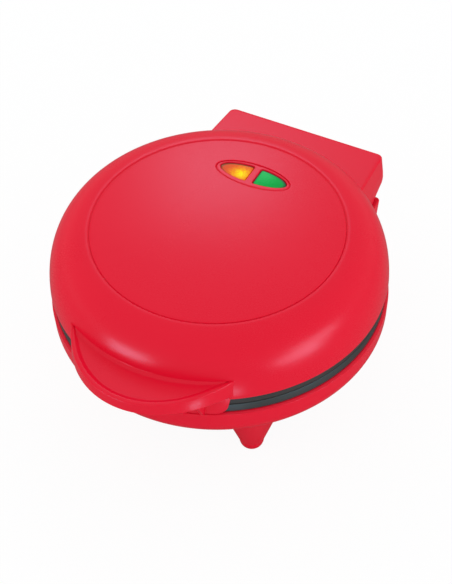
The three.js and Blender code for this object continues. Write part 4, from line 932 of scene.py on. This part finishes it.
def grained(name, slot, tones, noise, shine, relief, stretch=None, cloud=None, **sockets):
    """A finish whose colour, roughness and relief follow one noise.

    A stretch draws the noise out, and the colour follows a coarser one where a cloud is given.
    """
    material, wire = finish(name)
    spot = wire.node("ShaderNodeMapping", 0, {"Vector": wire.place(), "Scale": stretch}) if stretch else None
    grain = wire.noise(*noise, place=spot)
    tone = wire.mix(wire.noise(cloud) if cloud else grain, *tones)
    if relief:
        sockets["normal"] = wire.bump(grain, *relief)
    surface(wire, base_color=tone, roughness=shine[0] + shine[1] * grain, **sockets)
    return material


screw_steel = grained("zinc_plated_steel", "screw_steel", ((0.52, 0.54, 0.57, 1), (0.68, 0.69, 0.70, 1)),
                      (900.0, 3.0, 0.65), (0.24, 0.16), (0.00002, 0.4), cloud=120.0, metallic=1.0)
pin_line = [(0, 30.35), (1.7, 30.35), (2.0, 30.65), (2.0, 46.7), (1.7, 47.0), (0, 47.0)]


def laid(grid, middle):
    """A shape made about the upright axis, laid along X round a place in Y and Z."""
    return np.roll(grid + [*middle, 0], 1, axis=-1)


for side, name in ((-1, "left"), (1, "right")):
    piece("pin_" + name, [laid(turned(pin_line, 40), hinge) * [side, 1, 1]], screw_steel, "lid",
          "hinge_pin_" + name, crease=30)

# Screws: pan heads with a cross recess, the larger ones for the plates and the smaller ones for the lamp
# tray, the fuse clip and the terminal block. All are zinc plated.
large, small = (3.8, 2.6, 1.9), (2.6, 1.0, 1.3)
dome_fall, cross_depth, cross_half, cross_reach = 0.35, 0.55, 0.12, 0.62


def box_of(node):
    """The box of a node, in millimetres from the body's axis."""
    return [np.array(corner) / mm - [0, axis_y, 0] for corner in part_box(node)]


def screw(node, body, size, tip_up):
    """A pan-head screw, of a head, head height and shank, where the record's box of the node says.

    The head's top is a low dome less a cross: its depth falls off with the distance from the nearer
    arm's middle line and with the distance from the head's centre.
    """
    head, seat, shank = size
    low, high = box_of(node)
    length = high[2] - low[2]
    radii = np.concatenate([np.linspace(0, 0.8, 22), [0.86, 0.92, 0.96, 0.985, 1.0]])
    dome = dome_fall * seat * radii ** 3
    dome[-4:] += np.array([0.02, 0.06, 0.14, 0.3]) * seat
    plan = on_circle(np.linspace(0, 2 * np.pi, 97), head * radii[:, None])
    arm = np.clip(1.6 - np.abs(plan).min(-1) / (cross_half * head), 0, 1)
    reach = np.clip((cross_reach - np.abs(plan).max(-1) / head) / 0.1, 0, 1)
    line = [(head, seat - 0.1), (head - 0.1, seat), (shank, seat), (shank, length - shank),
            (0.35 * shank, length), (0, length)]
    grid = np.concatenate([raised(plan, dome[:, None] + cross_depth * seat * arm * reach),
                           turned(line, 96).transpose(1, 0, 2)])
    grid[..., 2] = low[2] + grid[..., 2] if tip_up else high[2] - grid[..., 2]
    grid[..., :2] += (low[:2] + high[:2]) / 2
    piece(node.replace("_screw", "_pan_screw"), [grid], screw_steel, body, node, crease=30)


corner_names = ("front_left", "front_right", "rear_left", "rear_right")
for corner in corner_names:
    screw("upper_plate_screw_" + corner, "lid", large, False)
    screw("lower_plate_screw_" + corner, "base", large, True)
for side in ("left", "right"):
    screw("lamp_tray_screw_" + side, "lid", small, False)
screw("fuse_clip_screw", "base", small, True)
screw("terminal_block_screw", "base", large, False)

# Cord gland: a black plastic bush with a flange, set in the round boss of the platform's rear face. The
# cord that would come through it isn't part of this object, so its bore ends in a thin skin.
gland_z, boss_face = 44.0, 104.0


def along_y(grid):
    """A shape made about the upright axis, laid through the gland so that its height runs to the back."""
    return grid[..., [0, 2, 1]] + [0, 0, gland_z]


black_plastic = grained("black_moulded_plastic", "black_plastic",
                        ((0.010, 0.010, 0.011, 1), (0.024, 0.024, 0.026, 1)),
                        (1400.0, 3.0, 0.6), (0.42, 0.18), (0.00005, 0.5))
gland_line = rounded([(0, 95.3), (5.6, 95.3), (5.6, 104.3), (7.0, 104.3), (7.0, 106.3), (4.6, 106.3),
                      (4.0, 105.6), (4.0, 100.5), (0, 100.5)], [0, 0.3, 0.2, 0.3, 0.8, 0.3, 0.5, 0.3, 0])
piece("cord_bush", [along_y(turned(gland_line, 64))], black_plastic, "base", "cord_gland", crease=30)
ring_line = looped(rounded([(5.9, 96.0), (5.9, boss_face), (8.5, boss_face), (8.5, 96.0)], [0, 0.3, 0.6, 0]))
piece("gland_boss", [along_y(turned(ring_line, 64))], red_plastic, "base", "base_housing")

# Foot pads: discs of grey-black rubber with a ring groove for grip. They are pressed into the tips of
# the feet and stand a little proud of them.
rubber = grained("grey_black_rubber", "foot_rubber", ((0.018, 0.018, 0.019, 1), (0.045, 0.044, 0.043, 1)),
                 (700.0, 4.0, 0.7), (0.72, 0.2), (0.00012, 0.6))
rubber_line = rounded([(0, 2.4), (3.6, 2.4), (3.6, 0), (2.6, 0), (2.4, 0.35), (2.0, 0.35), (1.8, 0), (0, 0)],
                      [0, 0.2, 0.35, 0.1, 0.1, 0.1, 0.1, 0], 4)
for corner, centre in zip(corner_names, feet):
    piece("rubber_foot_" + corner, [turned(rubber_line, 48, centre)], rubber, "base", "foot_pad_" + corner,
          crease=30)

# Heating elements: sheathed tubes bent to a ring behind each plate, with both ends turned up at the back
# for the leads. Their steel has gone a dull blue-brown with heat.
loop_radius, tube_radius, loop_level, loop_top, loop_gap, loop_end = 62.0, 3.3, 16.2, 27.8, 0.2, 4.95
sheath, wire = finish("heat_tinted_sheath")
scale_spots = wire.noise(1100.0, 3.0, 0.7)
sheath_tone = wire.node("ShaderNodeValToRGB", 0, {0: wire.noise(55.0, 3.0)}, stops=[
    (0.30, (0.16, 0.17, 0.19, 1)), (0.50, (0.25, 0.22, 0.19, 1)), (0.70, (0.33, 0.27, 0.20, 1))])
surface(wire, base_color=sheath_tone, metallic=0.9, roughness=0.38 + 0.22 * scale_spots,
        normal=wire.bump(scale_spots, 0.00004, 0.5))
first = (np.pi / 2 + loop_gap) * loop_radius - loop_end
last = (np.pi * 5 / 2 - loop_gap) * loop_radius + loop_end
loop_line = rounded([(first, loop_top), (first, loop_level), (last, loop_level), (last, loop_top)],
                    [0, 6, 6, 0], 10)
start_bend, end_bend = np.split(loop_line, 2)
loop_run = blend(start_bend[-1], end_bend[0], np.linspace(0, 1, 150)[1:-1, None])
loop_line = np.concatenate([start_bend, loop_run, end_bend])
loop_line = loop_line[np.concatenate([[True], np.linalg.norm(np.diff(loop_line, axis=0), axis=1) > 1e-4])]


def tube(line, radius, sides=20):
    """A round tube along a line drawn on an upright cylinder.

    The line's points are (length round the cylinder, height); the tube's circle lies across the line,
    on the cylinder's outward direction and the direction square to it and to the line.
    """
    outward = raised(on_circle(line[:, 0] / loop_radius), 0)
    path = outward * loop_radius + at(0, 0, line[:, 1])
    heading = np.gradient(path, axis=0)
    heading /= np.linalg.norm(heading, axis=1)[:, None]
    square = np.cross(heading, outward)
    way = np.linspace(0, 2 * np.pi, sides + 1)[:, None]
    ring = path[:, None] + radius * (np.cos(way) * outward[:, None] + np.sin(way) * square[:, None])
    first, last = (np.broadcast_to(path[end], ring[:1].shape) for end in (0, -1))
    return np.concatenate([first, ring, last])


for side, node, body, way in plate_sides:
    piece("element_" + side, from_seam([tube(loop_line, tube_radius)], way), sheath, body,
          node + "_heating_element", crease=50)

# Lamps: two small tubes of frosted glass with drawn ends. They lie in the tray under the windows, one
# for each.
lamp_radius, lamp_end = 2.9, 1.6
lamp_glass = grained("frosted_lamp_glass", "lamp_glass", ((0.80, 0.55, 0.28, 1), (0.92, 0.72, 0.42, 1)),
                     (800.0,), (0.10, 0.15), None, coat_weight=0.3)
for side in ("power", "ready"):
    low, high = box_of(side + "_lamp")
    lamp_line = rounded([(0, low[0]), (lamp_radius, low[0]), (lamp_radius, high[0]), (0, high[0])],
                        [0, lamp_end, lamp_end, 0], 8)
    piece(side + "_lamp_glass", [laid(turned(lamp_line, 32), (low + high)[1:] / 2)], lamp_glass, "lid",
          side + "_lamp")

# Inner pieces that keep their own solids: the heat shields of rolled sheet, and the pieces of white
# heat-resistant plastic and ceramic. Each gets the finish of its stuff.
sheet_metal = grained("rolled_aluminium_sheet", None, ((0.62, 0.63, 0.65, 1), (0.78, 0.79, 0.80, 1)),
                      (1.0, 3.0, 0.6), (0.30, 0.18), (0.00002, 0.4), (40.0, 2500.0, 40.0), metallic=1.0)
ceramic = grained("white_heat_resistant_plastic", None, ((0.76, 0.73, 0.66, 1), (0.84, 0.82, 0.76, 1)),
                  (500.0, 3.0, 0.6), (0.45, 0.2), (0.00004, 0.4))
for finish_of, nodes in ((sheet_metal, ("upper_heat_shield", "lower_heat_shield", "fuse_clip")),
                         (ceramic, ("lamp_tray", "thermostat", "thermal_fuse", "terminal_block"))):
    for node in nodes:
        for place in bpy.data.objects[node].material_slots:
            place.material = finish_of
